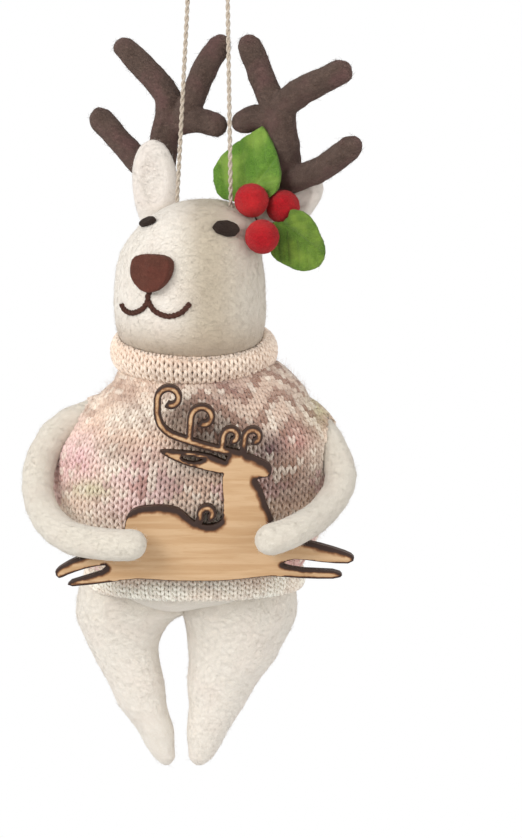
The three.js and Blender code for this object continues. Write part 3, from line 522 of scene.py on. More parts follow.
def on_face(x, y):
    """Where a point of the mouth's drawing lands on the face, sunk half its own thickness into the wool."""
    start = head_point(mouth_aside + x, well_ahead, mouth_rise + y) * MM
    looking_back = (head_point(0, -1, 0) - head_point(0, 0, 0)).normalized()
    place, outward, _, _ = head_skin.ray_cast(start, looking_back)
    return np.array(place + outward * mouth_ply_radius / 2 * MM) / MM


drawn = [[stem_top, (0, stem_top[1] / 2), stem_foot]]
drawn += [[smile_start] + [(out * smile_half_width, up * smile_drop) for out, up in shares]
          for shares in curl_shares.values()]
sewn = []
for drawing in drawn:
    flat = through([(x, y, 0) for x, y in drawing], mouth_steps)
    seated = np.array([on_face(x, y) for x, y, _ in flat])
    sewn.append(laid_up(seated, mouth_ply_radius, mouth_ply_offset, mouth_lay))
piece("mouth_yarn", *gathered(sewn), mouth_wool, "ornament", "nose_felt", "mouth_thread")


# The ears are drops of cream felt with a hollow in the front, needled to the back of the crown. Their wool
# is a little rosier than the head's.
ear_wool = wool_finish("ear wool", colour(240, 232, 223), colour(229, 220, 209), colour(238, 222, 212))
for side in ("left", "right"):
    ear = felted(f"{side}_ear_wool", [f"{side}_ear"], ear_wool, "cream_felt", grain=0.3, lumps=0.12,
                 lump_size=5, rounds=20)
    fuzz(f"{side}_ear_fuzz", ear, ear_wool, "cream_felt", per_mm2=1.2, length=1.2, lift=0.4, seed=5)


# Each antler is brown wool wound round wires and needled together where the tines meet the beam, so it
# is one piece of wool, knobbly along its length and rounded at its tips.
antler_brown = wool_finish("brown antler wool", colour(118, 98, 88), colour(74, 58, 50), colour(120, 86, 84),
                           tint_share=0.6, fineness=1.2, depth_mm=0.26, sheen=0.12,
                           sheen_tint=(0.7, 0.55, 0.5))
# The tines are bent a little more than the solids': each tip's place, across and up, and how far it is bent
# across, back and up
tine_bends = {"left": [((-16.7, -17.5), (-1.3, 0, 0.3)), ((1.2, -16.6), (1.2, 0.8, 0)),
                       ((-22.5, -33.3), (-0.9, 0, 1))],
              "right": [((9, -17.5), (-0.5, 1.5, 0.4)), ((27.5, -22.2), (1, 0, -0.3)),
                        ((29, -38.5), (1.7, 0, 0.1))]}
tine_reach = 15


def bend_tines(points, side):
    """Bends the wool or wire of each tine, most at its tip."""
    for tip, bend in tine_bends[side]:
        near = np.clip(1 - np.hypot(points[:, 0] - tip[0], points[:, 2] - tip[1]) / tine_reach, 0, 1)
        points += near[:, None] ** 0.8 * bend


def reshape(mesh, change, *values):
    """Moves a mesh's corners by a function of them, in millimetres."""
    points = corners_of(mesh)
    change(points, *values)
    move_corners(mesh, points)


for side in ("left", "right"):
    parts = [f"{side}_antler_{part}" for part in ("beam", "inner_tine", "brow_tine", "cross_tine")]
    antler = felted(f"{side}_antler_wool", parts, antler_brown, "brown_felt", grain=0.3, lumps=0.22,
                    lump_size=2.6, rounds=9, swell=0.22)
    reshape(antler.data, bend_tines, side)
    fuzz(f"{side}_antler_fuzz", antler, antler_brown, "brown_felt", per_mm2=1.1, length=1.3, lift=0.45,
         seed=7)


# The wires in the antlers and arms are galvanised steel. The wool is wound on them, and they keep it as it
# is bent.
wire, wire_tree, wire_shader = finish("galvanised wire", 0.4, specular=0.5)
wire_shader.inputs["Metallic"].default_value = 1
spangle = cloud(wire_tree, in_millimetres(wire_tree), 1.5, 3.0)
zinc = blended(wire_tree, spangle, colour(150, 150, 148), colour(186, 187, 188))
wire_tree.links.new(zinc, wire_shader.inputs["Base Color"])
wire_tree.links.new(eased(wire_tree, spangle, 0.3, 0.7, 0.32, 0.5), wire_shader.inputs["Roughness"])


def bent_wire(node, change, *values):
    """A solid's wire, bent as the wool round it is."""
    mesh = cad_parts[node].data.copy()
    reshape(mesh, change, *values)
    put_in(f"bent_{node}", mesh, wire, "ornament", "steel_wire", node)


for side in ("left", "right"):
    bent_wire(f"{side}_antler_wire", bend_tines, side)


# The holly is two leaves of sheet felt, each cupped along its midrib and pricked with veins, glued to the
# crown beside the ear, under three balls of bright red felt.
leaf_tones = {"upper": [colour(110, 152, 56), colour(74, 112, 40), colour(156, 184, 84)],
              "lower": [colour(106, 140, 52), colour(70, 98, 36), colour(146, 172, 70)]}
leaf_roots = {"upper": head_point(7.08, -2.58, -1.45), "lower": head_point(15.62, -3.06, -3.06)}
leaf_cups, leaf_curls = {"upper": 1.2, "lower": 0.9}, {"upper": 1.5, "lower": 1.0}
rib_half_width, vein_count, vein_depth, vein_slant, veins_end = 0.5, 5, 0.45, 0.9, 0.93


def cupped(points, root, cup, curl):
    """Bends a flat leaf up at both edges and back at its tip, and presses in its midrib and veins."""
    middle = points.mean(axis=0)
    length_way, across_way, flat_way = np.linalg.svd(points - middle, full_matrices=False)[2]
    if length_way @ (middle - root) < 0:
        length_way = -length_way
    if flat_way[1] > 0:
        flat_way = -flat_way
    along, across = (points - root) @ length_way, np.abs((points - root) @ across_way)
    share = np.clip(along / along.max(), 0, 1)
    lift = cup * (across / across.max()) ** 1.6 - curl * share**2.2
    rib = np.exp(-(across / rib_half_width) ** 2)
    from_root = (along - across * vein_slant) / (along.max() / vein_count)
    vein = np.exp(-((from_root - np.round(from_root)) * 6) ** 2) * (share < veins_end)
    in_front = (points - middle) @ flat_way > 0
    pressed = np.where(in_front, np.maximum(rib, vein * 0.55) * vein_depth, 0)
    points += flat_way * (lift - pressed)[:, None]


for which, tones in leaf_tones.items():
    green = wool_finish(f"{which} leaf wool", *tones, tint_share=0.6, depth_mm=0.13, sheen=0.2,
                        sheen_tint=(0.8, 0.95, 0.6))
    leaf = felted(f"holly_leaf_{which}_felt", [f"holly_leaf_{which}"], green, "green_felt", grain=0.24,
                  lumps=0.05, lump_size=2, rounds=3)
    reshape(leaf.data, cupped, np.array(leaf_roots[which]), leaf_cups[which], leaf_curls[which])
    fuzz(f"holly_leaf_{which}_fuzz", leaf, green, "green_felt", per_mm2=0.9, length=0.9, lift=0.25, seed=8)

berry_red = wool_finish("red berry wool", colour(198, 26, 38), colour(136, 10, 20), colour(220, 54, 54),
                        tint_share=0.5, fineness=1.2, depth_mm=0.15, sheen=0.2, sheen_tint=(1, 0.5, 0.45))
for seed, which in enumerate(("inner", "outer", "lower"), 11):
    berry = felted(f"berry_{which}_wool", [f"berry_{which}"], berry_red, "red_felt", grain=0.24, lumps=0.1,
                   lump_size=2.4, rounds=8)
    fuzz(f"berry_{which}_fuzz", berry, berry_red, "red_felt", per_mm2=1.3, length=0.8, lift=0.3, seed=seed)


# The body is a pear of the same cream wool, warmer at the hips. The sweater covers it down to the hips, and
# below the hem it comes down between the legs.
warm_tones = [colour(231, 223, 209), colour(220, 211, 195), colour(226, 212, 197)]
hip_wool, hip_tree, hip_shader = finish("body and leg wool", 0.95, sheen=0.3, specular=0.15)
spot = add(hip_tree, "ShaderNodeSeparateXYZ", {0: in_millimetres(hip_tree)}).outputs
warmer = eased(hip_tree, spot["Z"], -152, -134, 0.0, 0.4)
felt_on(hip_tree, hip_shader, *[blended(hip_tree, warmer, *pair) for pair in zip(cream_tones, warm_tones)])
body_top = np.array((-3.2, 3.4, -77.7))
body_half = 22
shoulder_reach = 20
# How far each side of the body bags out from the solid, or is drawn in, at how far down from its top
left_bag = [(0, 0), (8, -1.2), (11.6, -2.9), (15, -2), (18, -0.6), (25, 2.2), (36, 2.2), (46, 0.6), (52, 0)]
right_bag = [(0, 0), (8, -0.3), (11.6, -1.2), (15, -2.4), (18, -1.2), (22, 0)]
# Between the legs: the lowered spot's place and half-width, by how much, and from what height over how far
between_legs, between_half, between_drop, between_top, between_blend = -8.0, 7.0, 1.6, -130.0, 3


def bagged(down, share):
    """How far aside a point goes, from how far down it is and its share of the way out to the side."""
    left, right = (np.interp(down, *zip(*bag)) for bag in (left_bag, right_bag))
    return right * np.clip(share, 0, 1) ** 2 - left * np.clip(-share, 0, 1) ** 2


def settle_body(points):
    """Slopes the shoulders as the sweater does, and brings the body down between the legs."""
    down, share = body_top[2] - points[:, 2], (points[:, 0] - body_top[0]) / body_half
    points[:, 0] += np.where(down < shoulder_reach, bagged(down, share), 0)
    below = np.clip((between_top - points[:, 2]) / between_blend, 0, 1)
    points[:, 2] -= between_drop * below * np.exp(-((points[:, 0] - between_legs) / between_half) ** 2)


torso = felted("torso_wool", ["torso"], hip_wool, "cream_felt", grain=0.7, lumps=0.1, lump_size=6, rounds=8)
reshape(torso.data, settle_body)


# The legs are plump drops of cream wool that narrow to pointed toes, slimmest above the toes. Their tops
# are tucked up into the hem, and between the legs the wool is drawn across to meet in an arch.
leg_top, leg_height, leg_half = -123.7, 48.4, 8
tuck, tuck_share = 5.5, 0.36
arch_share, arch_height_share = 0.31, 0.17
arch_reach = {"left": 6.5, "right": 1.5}
# Down the leg, in shares: how far down, the girth left of the drop's, and how far it leans aside
leg_tables = {"left": [(0, 0.93, 0.5), (0.2, 0.93, 0.5), (0.32, 0.93, 0.4), (0.46, 0.86, 0), (0.6, 0.82, 0),
                       (0.83, 0.8, 0), (1, 0.77, 0)],
              "right": [(0, 0.97, -0.5), (0.32, 0.92, -1.2), (0.46, 0.87, -1.7), (0.6, 0.84, -1.7),
                        (0.83, 0.81, -1.3), (1, 0.78, -1.2)]}
slice_count, slice_share = 40, 0.03  # slices of the leg that its middle is found in


def slim_leg(points, side):
    """Narrows a leg about its own middle, leans it, and draws its top together and up."""
    down = (leg_top - points[:, 2]) / leg_height
    slices = np.linspace(down.min(), down.max(), slice_count)
    held = [points[np.abs(down - share) < slice_share, :2] for share in slices]
    middles = np.array([(some.min(axis=0) + some.max(axis=0)) / 2 for some in held])
    middle = np.stack([np.interp(down, slices, middles[:, k]) for k in range(2)], axis=1)
    shares, girths, leans = np.array(leg_tables[side]).T
    points[:, :2] = middle + (points[:, :2] - middle) * np.interp(down, shares, girths)[:, None]
    points[:, 0] += np.interp(down, shares, leans)
    inward = 1 if side == "left" else -1
    inner = (points[:, 0] - middle[:, 0]) * inward
    still_open = np.clip(1 - (down - arch_share) / arch_height_share, 0, 1)
    drawn_in = arch_reach[side] * (1 - np.sqrt(1 - still_open**2)) * np.clip(inner / leg_half, 0, 1)
    points[:, 0] += drawn_in * inward
    points[:, 2] += tuck * np.clip(1 - down / tuck_share, 0, 1) ** 1.5


for side in ("left", "right"):
    leg = felted(f"{side}_leg_wool", [f"{side}_leg"], hip_wool, "cream_felt", grain=0.42, lumps=0.12,
                 lump_size=7, rounds=14)
    reshape(leg.data, slim_leg, side)
    fuzz(f"{side}_leg_fuzz", leg, hip_wool, "cream_felt", per_mm2=1.0, length=1.5, lift=0.5, seed=15)


# The arms are cream wool rolled round a wire from hand to hand. Wool and wire hang a little lower at the
# shoulders than the solids do.
warm_cream = wool_finish("warm cream wool", *warm_tones)
shoulder_drop, drop_from, drop_to = 3, -116, -99
elbow_height, elbow_span, elbow_in = -108.5, 8, 0.8


def eased_share(x, low, high):
    t = np.clip((x - low) / (high - low), 0, 1)
    return t * t * (3 - 2 * t)


def hang_lower(points):
    """Lowers the arms toward the shoulders, and draws the left elbow in."""
    points[:, 0] += elbow_in * (points[:, 0] < 0) * np.exp(-((points[:, 2] - elbow_height) / elbow_span) ** 2)
    points[:, 2] -= shoulder_drop * eased_share(points[:, 2], drop_from, drop_to)


bent_wire("arm_wire", hang_lower)
arms = []
for side in ("left", "right"):
    arm = felted(f"{side}_arm_wool", [f"{side}_arm"], warm_cream, "cream_felt", grain=0.36, lumps=0.16,
                 lump_size=5, rounds=12)
    reshape(arm.data, hang_lower)
    fuzz(f"{side}_arm_fuzz", arm, warm_cream, "cream_felt", per_mm2=1.1, length=1.4, lift=0.5, seed=17)
    arms.append(arm)


# The sweater is knitted in the round from plied wool: a cream ground with zigzags of beige brown round the
# yoke, and small diamonds and blots of pink, rose and mauve below. Every row is one strand, looped through
# the row above.
sweater_half, sweater_top, sweater_height, sweater_depth = 28.6, -7.48, 42.6, 0.72
# Down the sweater: its half-width and how far down it is, in shares
sweater_table = [(0.6, 0), (0.72, -0.07), (0.87, -0.18), (0.97, -0.34), (1, -0.54), (0.985, -0.72),
                 (0.9, -0.88), (0.8, -1)]
sweater_steps = 200
# How far aside it hangs, and how far down that is full and over
slump, slump_full, slump_over = 2, 14.5, 46.4
yarn_radius = 0.4
yarn_sink = 0.6  # the yarn's middle, in from the knitting's outer face
loop_reach, loop_lean, loop_depth = 0.84, 1.45, 0.4
steps_per_stitch = 10
yarn_sides = 6
oval_evening = 0.16  # how far stitches are moved round, to stay even on the sweater's flatter front and back
skin_gap, skin_reach = 0.05, 4  # left between yarn and wool, and how deep yarn is looked for in it


def sweater_aside(down, share):
    """How far aside the knitting hangs, from how far down it is and its share of the way out to the side."""
    hang = slump * (1 - eased_share(down, slump_full, slump_over)) * eased_share(down, 0, slump_full)
    return hang + bagged(down, share)


def round_the_body(profile, steps, aside_at=None, rise_of_band=0, nod=0):
    """The middle surface of a knitted tube, from (half-width, depth, height) down its profile: a function
    that gives points and the ways out of them, from how far round and down they are, in shares."""
    fine = through(profile, steps)
    down = np.linspace(0, 1, steps + 1)
    slope = np.gradient(fine, axis=0)
    c, s = math.cos(nod), math.sin(nod)
    nodded = np.array([(1, 0, 0), (0, c, s), (0, -s, c)])
    middle = body_top + (0, 0, rise_of_band)

    def place(round_share, down_share):
        half, deep, rise = (np.interp(down_share, down, fine[:, k]) for k in range(3))
        falls, widens = np.interp(down_share, down, slope[:, 2]), np.interp(down_share, down, slope[:, 0])
        angle = round_share * math.tau
        angle = angle - np.sin(2 * angle) * oval_evening * (half / np.maximum(deep, 0.1) - 1)
        aside = aside_at(-rise, np.sin(angle)) if aside_at else 0
        point = np.stack([half * np.sin(angle) + aside, -deep * np.cos(angle), rise], axis=-1)
        out = np.stack([np.sin(angle) / half, -np.cos(angle) / deep, 0 * angle], axis=-1)
        out /= np.linalg.norm(out, axis=-1, keepdims=True)
        steep = np.hypot(falls, widens)
        out = out * (-falls / steep)[..., None] + np.array((0, 0, 1)) * (widens / steep)[..., None]
        return point @ nodded + middle, out @ nodded

    return place


def clear_of_skins(points, skins):
    """Moves the yarn's middle out of the wool that it lies on."""
    gap = yarn_radius + skin_gap
    for skin in skins:
        for i, point in enumerate(points):
            on_skin, outward, _, _ = skin.find_nearest(Vector(point) * MM, skin_reach * MM)
            if on_skin and (Vector(point) * MM - on_skin).dot(outward) < gap * MM:
                points[i] = np.array(on_skin + outward * gap * MM) / MM
    return points


def knitted(name, place, rows, wales, shade_of, slot, node, skins=(), shown_rows=None, closed=False):
    """Rows of looped yarn on a surface, in dyes by where the stitches are. A closed one is a roll."""
    course = 1 / rows
    t = np.arange(wales * steps_per_stitch) * math.tau / steps_per_stitch
    row_walls = walls_between(len(t), yarn_sides, closed=True)
    angle = np.arange(yarn_sides) * math.tau / yarn_sides
    round_yarn = np.broadcast_to(np.stack([np.cos(angle), np.sin(angle)], axis=-1), (len(t), yarn_sides, 2))
    corners, faces, shades, twists = [], [], [], []
    for row in shown_rows or range(rows):
        round_share = (t + loop_lean * np.sin(2 * t)) / (wales * math.tau)
        down_share = (row + 0.5) * course - course * loop_reach * np.cos(t)
        middle, out = place(round_share, down_share % 1 if closed else down_share)
        middle = clear_of_skins(middle - out * loop_depth * np.cos(2 * t)[:, None], skins)
        along = np.roll(middle, -1, axis=0) - np.roll(middle, 1, axis=0)
        along /= np.linalg.norm(along, axis=1)[:, None]
        first = out - along * (out * along).sum(axis=1)[:, None]
        first /= np.linalg.norm(first, axis=1)[:, None]
        faces.append(row_walls + len(corners) * len(t) * yarn_sides)
        corners.append(rings_round(middle, first, np.cross(along, first), yarn_radius, yarn_sides))
        shades.append(np.repeat(shade_of(middle, np.round(t / math.tau), row), yarn_sides, axis=0))
        along_yarn = np.broadcast_to(gone_along(middle)[:, None, None], (len(t), yarn_sides, 1))
        twists.append(np.concatenate([round_yarn, along_yarn], axis=-1).reshape(-1, 3))
    made = piece(name, np.vstack(corners), np.vstack(faces).tolist(), knit_wool, "ornament", slot, node)
    for label, values in (("yarn shade", np.vstack(shades)), ("yarn twist", np.vstack(twists))):
        layer = made.data.attributes.new(label, "FLOAT_VECTOR", "POINT")
        layer.data.foreach_set("vector", values.astype(np.float32).ravel())
    return made


def plied_yarn():
    """Yarn of two plies: slanting grooves that run round the strand, darkened by painted shade, and fine
    fibres across them.
    """
    ply_lay = 2.2
    group, takes, gives = effect("plied yarn", {"Dye": ("colour", (0.8, 0.7, 0.6, 1))},
                                 {"Color": "colour", "Height": "value"})
    twist = add(group, "ShaderNodeAttribute", attribute_name="yarn twist").outputs["Vector"]
    parts = add(group, "ShaderNodeSeparateXYZ", {0: twist}).outputs
    angle = sums(group, "ARCTAN2", parts["Y"], parts["X"])
    phase = sums(group, "ADD", angle, sums(group, "MULTIPLY", parts["Z"], math.tau / ply_lay))
    ply = sums(group, "ABSOLUTE", sums(group, "SINE", phase, 0.0), 0.0)
    fibre = cloud(group, in_millimetres(group), 5.0, 3.0, Roughness=0.65)
    height = sums(group, "ADD", sums(group, "MULTIPLY", ply, 0.65), sums(group, "MULTIPLY", fibre, 0.35))
    # Painted shade: the dye is dimmed in the grooves between the plies
    groove_shade = add(group, "ShaderNodeMix", {0: 1.0, 6: takes["Dye"], 7: (0.76, 0.7, 0.66, 1)}, data_type="RGBA",
              blend_type="MULTIPLY").outputs[2]
    group.links.new(blended(group, eased(group, height, 0.1, 0.6), groove_shade, takes["Dye"]), gives["Color"])
    group.links.new(height, gives["Height"])
    return group


yarn_effect = plied_yarn()
knit_wool, knit_tree, knit_shader = finish("knitting wool", 0.92, sheen=0.3, specular=0.15)
dyed = add(knit_tree, "ShaderNodeAttribute", attribute_name="yarn shade").outputs["Color"]
yarn_look = place_effect(knit_tree, yarn_effect, Dye=dyed)
knit_tree.links.new(yarn_look["Color"], knit_shader.inputs["Base Color"])
raised(knit_tree, knit_shader, yarn_look["Height"], 0.14)


def dye(*rgb):
    return np.array(colour(*rgb)[:3])


cream_dye, peach_dye, beige_dye = dye(246, 234, 218), dye(240, 212, 190), dye(178, 147, 131)
pink_dye, rose_dye, mauve_dye = dye(238, 198, 198), dye(196, 144, 136), dye(138, 100, 96)
purple_dye, brown_dye, straw_dye = dye(108, 72, 82), dye(140, 98, 78), dye(212, 206, 168)
# Blots of dye on the front: the dye, where (across, up), how wide and tall, and how strong
blots = [(beige_dye, -17.6, -89.7, 4, 3, 0.6), (pink_dye, -27, -104, 5, 6, 0.9),
         (beige_dye, -19, -101, 3, 2, 0.7), (rose_dye, -12.5, -102.2, 4, 2.6, 0.85),
         (mauve_dye, -8, -107.2, 6, 3, 0.6), (straw_dye, -24, -110, 5, 2, 0.9),
         (pink_dye, -18, -113.5, 6, 3, 0.8), (purple_dye, 13, -101.3, 3.4, 3.2, 0.9),
         (rose_dye, 18.4, -99.7, 3, 3, 0.8), (straw_dye, 23, -94, 3, 4, 0.6),
         (brown_dye, 17, -106, 6, 4, 0.9), (mauve_dye, 16.5, -110, 5, 3, 0.45),
         (rose_dye, 13, -126, 9, 5, 0.8), (mauve_dye, 4, -88, 5, 3.5, 0.5), (brown_dye, 0, -98, 5, 4, 0.4),
         (brown_dye, -2.5, -110.3, 5, 5, 0.35), (cream_dye, -22, -117, 7, 6, 0.6)]
sweater_rows, sweater_wales = 32, 84
yoke_rows = 15
motif = 12  # wales and rows in one repeat of the pattern


def toward(shade, wanted, share):
    return shade + (wanted - shade) * np.clip(share, 0, 1)[:, None]


def uneven(points, scale, seed):
    """How the dye drifts over the knitting."""
    return np.array([noise.noise(spot) for spot in points * scale + (0, 0, seed)])


def tweedy(wales, row, seed, shift):
    """How each stitch differs from the next."""
    return np.array([noise.noise(Vector((wale * 0.83 + shift, row * 0.71, seed))) for wale in wales])


def sweater_shade(points, wale, row):
    """The pattern: what dye the stitches of one row have, from where they are."""
    broad = uneven(points, (0.09, 0.09, 0.2), 4)
    tweed = tweedy(wale % sweater_wales, row, 3, 7)
    shade = toward(np.repeat(cream_dye[None], len(points), axis=0), peach_dye, 0.4 + broad * 0.9)
    below = eased_share(np.full(len(points), float(row)), yoke_rows - 5, yoke_rows - 1)
    off_middle = np.abs((wale % motif) - motif / 2)
    zigzag = (row + off_middle) % 5 < 2
    rightward = eased_share(points[:, 0], -14, 2)
    shade = toward(shade, beige_dye, (zigzag * (0.3 + 0.5 * rightward) + 0.38 * rightward) * (1 - below))
    diamond = off_middle + np.abs((row % motif) - motif / 2)
    shade = toward(shade, pink_dye, (diamond < 4.2) * below * 0.6)
    shade = toward(shade, rose_dye, (diamond < 1.2) * below * 0.7)
    behind = points[:, 1] > body_top[1]
    shade = toward(shade, mauve_dye, behind * below * np.clip(broad * 2.2, 0, 0.6))
    for blot, across, up, wide, tall, strong in blots:
        nearness = np.exp(-((points[:, 0] - across) / wide) ** 2 - ((points[:, 2] - up) / tall) ** 2)
        shade = toward(shade, blot, nearness * ~behind * (strong + tweed * 0.7))
    shade = toward(shade, cream_dye, (tweed > 0.28) * 0.65)
    return toward(shade, brown_dye, (tweed < -0.28) * 0.3)


sweater_profile = [(sweater_half * half - yarn_sink, sweater_half * half * sweater_depth - yarn_sink,
                    sweater_top + drop * sweater_height) for half, drop in sweater_table]
sweater_place = round_the_body(sweater_profile, sweater_steps, sweater_aside)
arm_skins = [skin_of(arm) for arm in arms]
shells = [knitted(f"sweater_{which}", sweater_place, sweater_rows, sweater_wales, sweater_shade, "knit_yarn",
                  "sweater_body", arm_skins, shown)
          for which, shown in (("yoke", range(yoke_rows)), ("skirt", range(yoke_rows, sweater_rows)))]


# Behind the yarn is the fabric's own back, so that no light comes through the stitches. Its darker colour is
# painted shade between the stitches. The tube was knitted to the body's girth and height, its flat size here,
# and loose fibres stand off it.
lining_steps, lining_sides, lining_sink, lining_thickness = 40, 96, 0.4, 0.3
lining_from, lining_to = 0.01, 0.985  # in shares of the sweater's height
down_shares = np.linspace(lining_from, lining_to, lining_steps)
round_shares = np.arange(lining_sides) / lining_sides
lining_points, lining_out = sweater_place(*np.meshgrid(round_shares, down_shares))
lining_corners = (lining_points - lining_out * lining_sink).reshape(-1, 3)
lining_faces = walls_between(lining_steps, lining_sides).tolist()
shaded_back_wool = wool_finish("back of the knitting, painted shade", colour(222, 200, 186), colour(184, 160, 148),
                        colour(196, 166, 156))
lining = piece("sweater_back", lining_corners, lining_faces, shaded_back_wool, "ornament", "knit_yarn")
thick = lining.modifiers.new("thickness", "SOLIDIFY")
thick.thickness = lining_thickness * MM
thick.offset = -1


# The collar is a band of the same knitting in plain cream, rolled over on itself under the chin. The hem
# is a smaller roll of it that grips the hips.
collar_half, collar_thick, collar_tall, collar_rise, collar_depth = 14.6, 5.6, 7.6, -4.5, 0.92
collar_nod = math.radians(8)
collar_rows, collar_wales = 12, 54
hem_half, hem_thick, hem_tall, hem_rise = 22.15, 2.4, 4.7, -52.7
hem_rows, hem_wales = 10, 76
band_steps, band_points = 120, 25
# The hem's cream is whiter than the collar's: painted light that lifts the shade falling on the hem
collar_dye, hem_dye_painted_light = dye(248, 230, 212), dye(255, 251, 238)


def band_shade(points, wale, row):
    """Plain cream with a little peach in it, warmer in all but the lowest rows of the collar. Those rows and
    the hem take a whiter cream, which is painted light.
    """
    ground = collar_dye if points[0, 2] > body_top[2] + collar_rise * 2 else hem_dye_painted_light
    broad = uneven(points, (0.12, 0.12, 0.3), 9)
    tweed = tweedy(wale % collar_wales, row, 5, 2)
    shade = toward(np.repeat(ground[None], len(points), axis=0), peach_dye, 0.2 + broad * 0.7)
    return toward(shade, beige_dye, (tweed < -0.25) * 0.2)


def rolled(half, thick, tall, depth_share):
    """The closed profile of a band of knitting, from its inner side over the top and down the outside."""
    reach, lift = thick / 2 - yarn_radius, tall / 2 - yarn_radius
    return [(half + reach * math.cos(a), half * depth_share + reach * math.cos(a), lift * math.sin(a))
            for a in np.linspace(math.pi, -math.pi, band_points)]


collar_place = round_the_body(rolled(collar_half, collar_thick, collar_tall, collar_depth), band_steps,
                              rise_of_band=collar_rise, nod=collar_nod)
collar = knitted("sweater_collar_knit", collar_place, collar_rows, collar_wales, band_shade, "cream_yarn",
                 "sweater_collar", [head_skin], closed=True)
hem_place = round_the_body(rolled(hem_half, hem_thick, hem_tall, sweater_depth), band_steps,
                           rise_of_band=hem_rise)
hem = knitted("sweater_hem_knit", hem_place, hem_rows, hem_wales, band_shade, "cream_yarn", "sweater_hem",
              closed=True)
loose_wool = wool_finish("loose knitting fibre", colour(238, 222, 206), colour(214, 192, 178),
                         colour(226, 196, 184))
fuzz("sweater_fuzz", lining, loose_wool, "knit_yarn", per_mm2=0.8, length=1.6, lift=1.9, seed=31, rise=1.1)


# The wooden deer is cut by laser from birch plywood 3 mm thick and glued between the hands and the belly.
# The heat leaves its cut edges dark brown and scorches a band of the face beside them. Along the edges that
# face up and to the right the band is broader: scorch, and painted shadow.
ply_thickness, bevel = 3, 0.2
ply_layers = [share * ply_thickness for share in (0.11, 0.33, 0.34, 0.66, 0.67, 0.89)]
# Widths of the dark band: the broad one, along edges that face up and right, is scorch and painted shadow
broad_scorch_and_shade, strip_scorch, narrow_scorch = 1.45, 0.5, 0.12
strip_width, body_width = 1.6, 4  # how much wood behind an edge makes it a strip's or the body's
band_share = 0.38  # of the wood behind an edge, at most
# The way that the edges with painted shadow beside them face: up and to the right
shaded_edge_way = np.array((0.42, 0.91))
shade_from, shade_full = -0.15, 0.75  # how squarely an edge faces that way
plate_grain, edge_step = 0.45, 0.5
far = 99.0


def outlines_of(node):
    """The closed outlines of a plate's front face, in millimetres across and up, the wood on their left."""
    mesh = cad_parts[node].data
    keys, number = {}, []
    for corner in mesh.vertices:
        key = tuple(round(part / MM, 3) for part in corner.co)
        number.append(keys.setdefault(key, len(keys)))
    points = list(keys)
    front = min(p[1] for p in points)
    used = set()
    for face in mesh.polygons:
        ring = [number[i] for i in face.vertices]
        if all(abs(points[i][1] - front) < 0.01 for i in ring):
            used.update(zip(ring, ring[1:] + ring[:1]))
    after = {a: b for a, b in used if (b, a) not in used}
    loops = []
    while after:
        start, here = next(iter(after.items()))
        ring = [start]
        del after[start]
        while here != start and here in after:
            ring.append(here)
            here = after.pop(here)
        loops.append(np.array([(points[i][0], points[i][2]) for i in ring]))
    return loops, front


deer_loops, plate_front = outlines_of("wooden_deer")
starts = np.vstack(deer_loops)
ends = np.vstack([np.roll(ring, -1, axis=0) for ring in deer_loops])
spans = ends - starts
spans_inward = np.stack([-spans[:, 1], spans[:, 0]], axis=1) / np.linalg.norm(spans, axis=1)[:, None]


def wood_behind(middle, inward):
    """How far the wood goes on behind a cut edge, up to the next cut."""
    across = spans[:, 0] * inward[1] - spans[:, 1] * inward[0]
    off = starts - middle
    with np.errstate(divide="ignore", invalid="ignore"):
        reach = (spans[:, 0] * off[:, 1] - spans[:, 1] * off[:, 0]) / across
        share = (inward[0] * off[:, 1] - inward[1] * off[:, 0]) / across
    met = (share >= 0) & (share <= 1) & (reach > 0.05)
    return reach[met].min() if met.any() else far


# Painted shadow: the dark band is widened along the edges that face up and to the right
turned_to_shade = eased_share(-spans_inward @ shaded_edge_way, shade_from, shade_full)
behind = np.array([wood_behind(*at) for at in zip((starts + ends) / 2, spans_inward)])
edge_scorch = strip_scorch + (narrow_scorch - strip_scorch) * eased_share(behind, strip_width, body_width)
scorch_and_shade_widths = edge_scorch + (broad_scorch_and_shade - edge_scorch) * turned_to_shade
scorch_and_shade_widths = np.minimum(scorch_and_shade_widths, behind * band_share)


def from_edge(points, widths=None):
    """How far each point is from the nearest cut edge, in millimetres or in widths of its dark band of scorch
    and painted shadow.
    """
    best = np.full(len(points), far)
    for start, span, width in zip(starts, spans, np.ones(len(starts)) if widths is None else widths):
        share = np.clip(((points - start) @ span) / max(span @ span, 1e-9), 0, 1)
        best = np.minimum(best, np.linalg.norm(points - start - share[:, None] * span, axis=1) / width)
    return best


# Both faces of the plate: points along the cut edges and a grid of them inside, joined in triangles
flat, ring_edges = [], []
for ring in deer_loops:
    first = len(flat)
    for a, b in zip(ring, np.roll(ring, -1, axis=0)):
        parts = max(1, int(np.ceil(np.linalg.norm(b - a) / edge_step)))
        flat += [(a + (b - a) * k / parts).tolist() for k in range(parts)]
    ring_edges += [(k, k + 1) for k in range(first, len(flat) - 1)] + [(len(flat) - 1, first)]
low, high = np.array(flat).min(axis=0), np.array(flat).max(axis=0)
grid = [np.arange(start, end, plate_grain) for start, end in zip(low, high)]
grid = np.stack(np.meshgrid(*grid), -1)
grid[1::2, :, 0] += plate_grain / 2
grid = grid.reshape(-1, 2)
flat += grid[from_edge(grid) > bevel].tolist()
joined = geometry.delaunay_2d_cdt([Vector(p) for p in flat], ring_edges, [], 1, 1e-5)
plate, triangles = np.array([p[:] for p in joined[0]]), np.array(joined[2])
centres = plate[triangles].mean(axis=1)
crossings = np.zeros(len(centres), int)
for (x0, z0), (x1, z1) in zip(starts, ends):
    if z0 != z1:
        level = (z0 > centres[:, 1]) != (z1 > centres[:, 1])
        crossings += level & (centres[:, 0] < x0 + (x1 - x0) * (centres[:, 1] - z0) / (z1 - z0))
triangles = triangles[crossings % 2 == 1]
a, b, c = (plate[triangles[:, k]] for k in range(3))
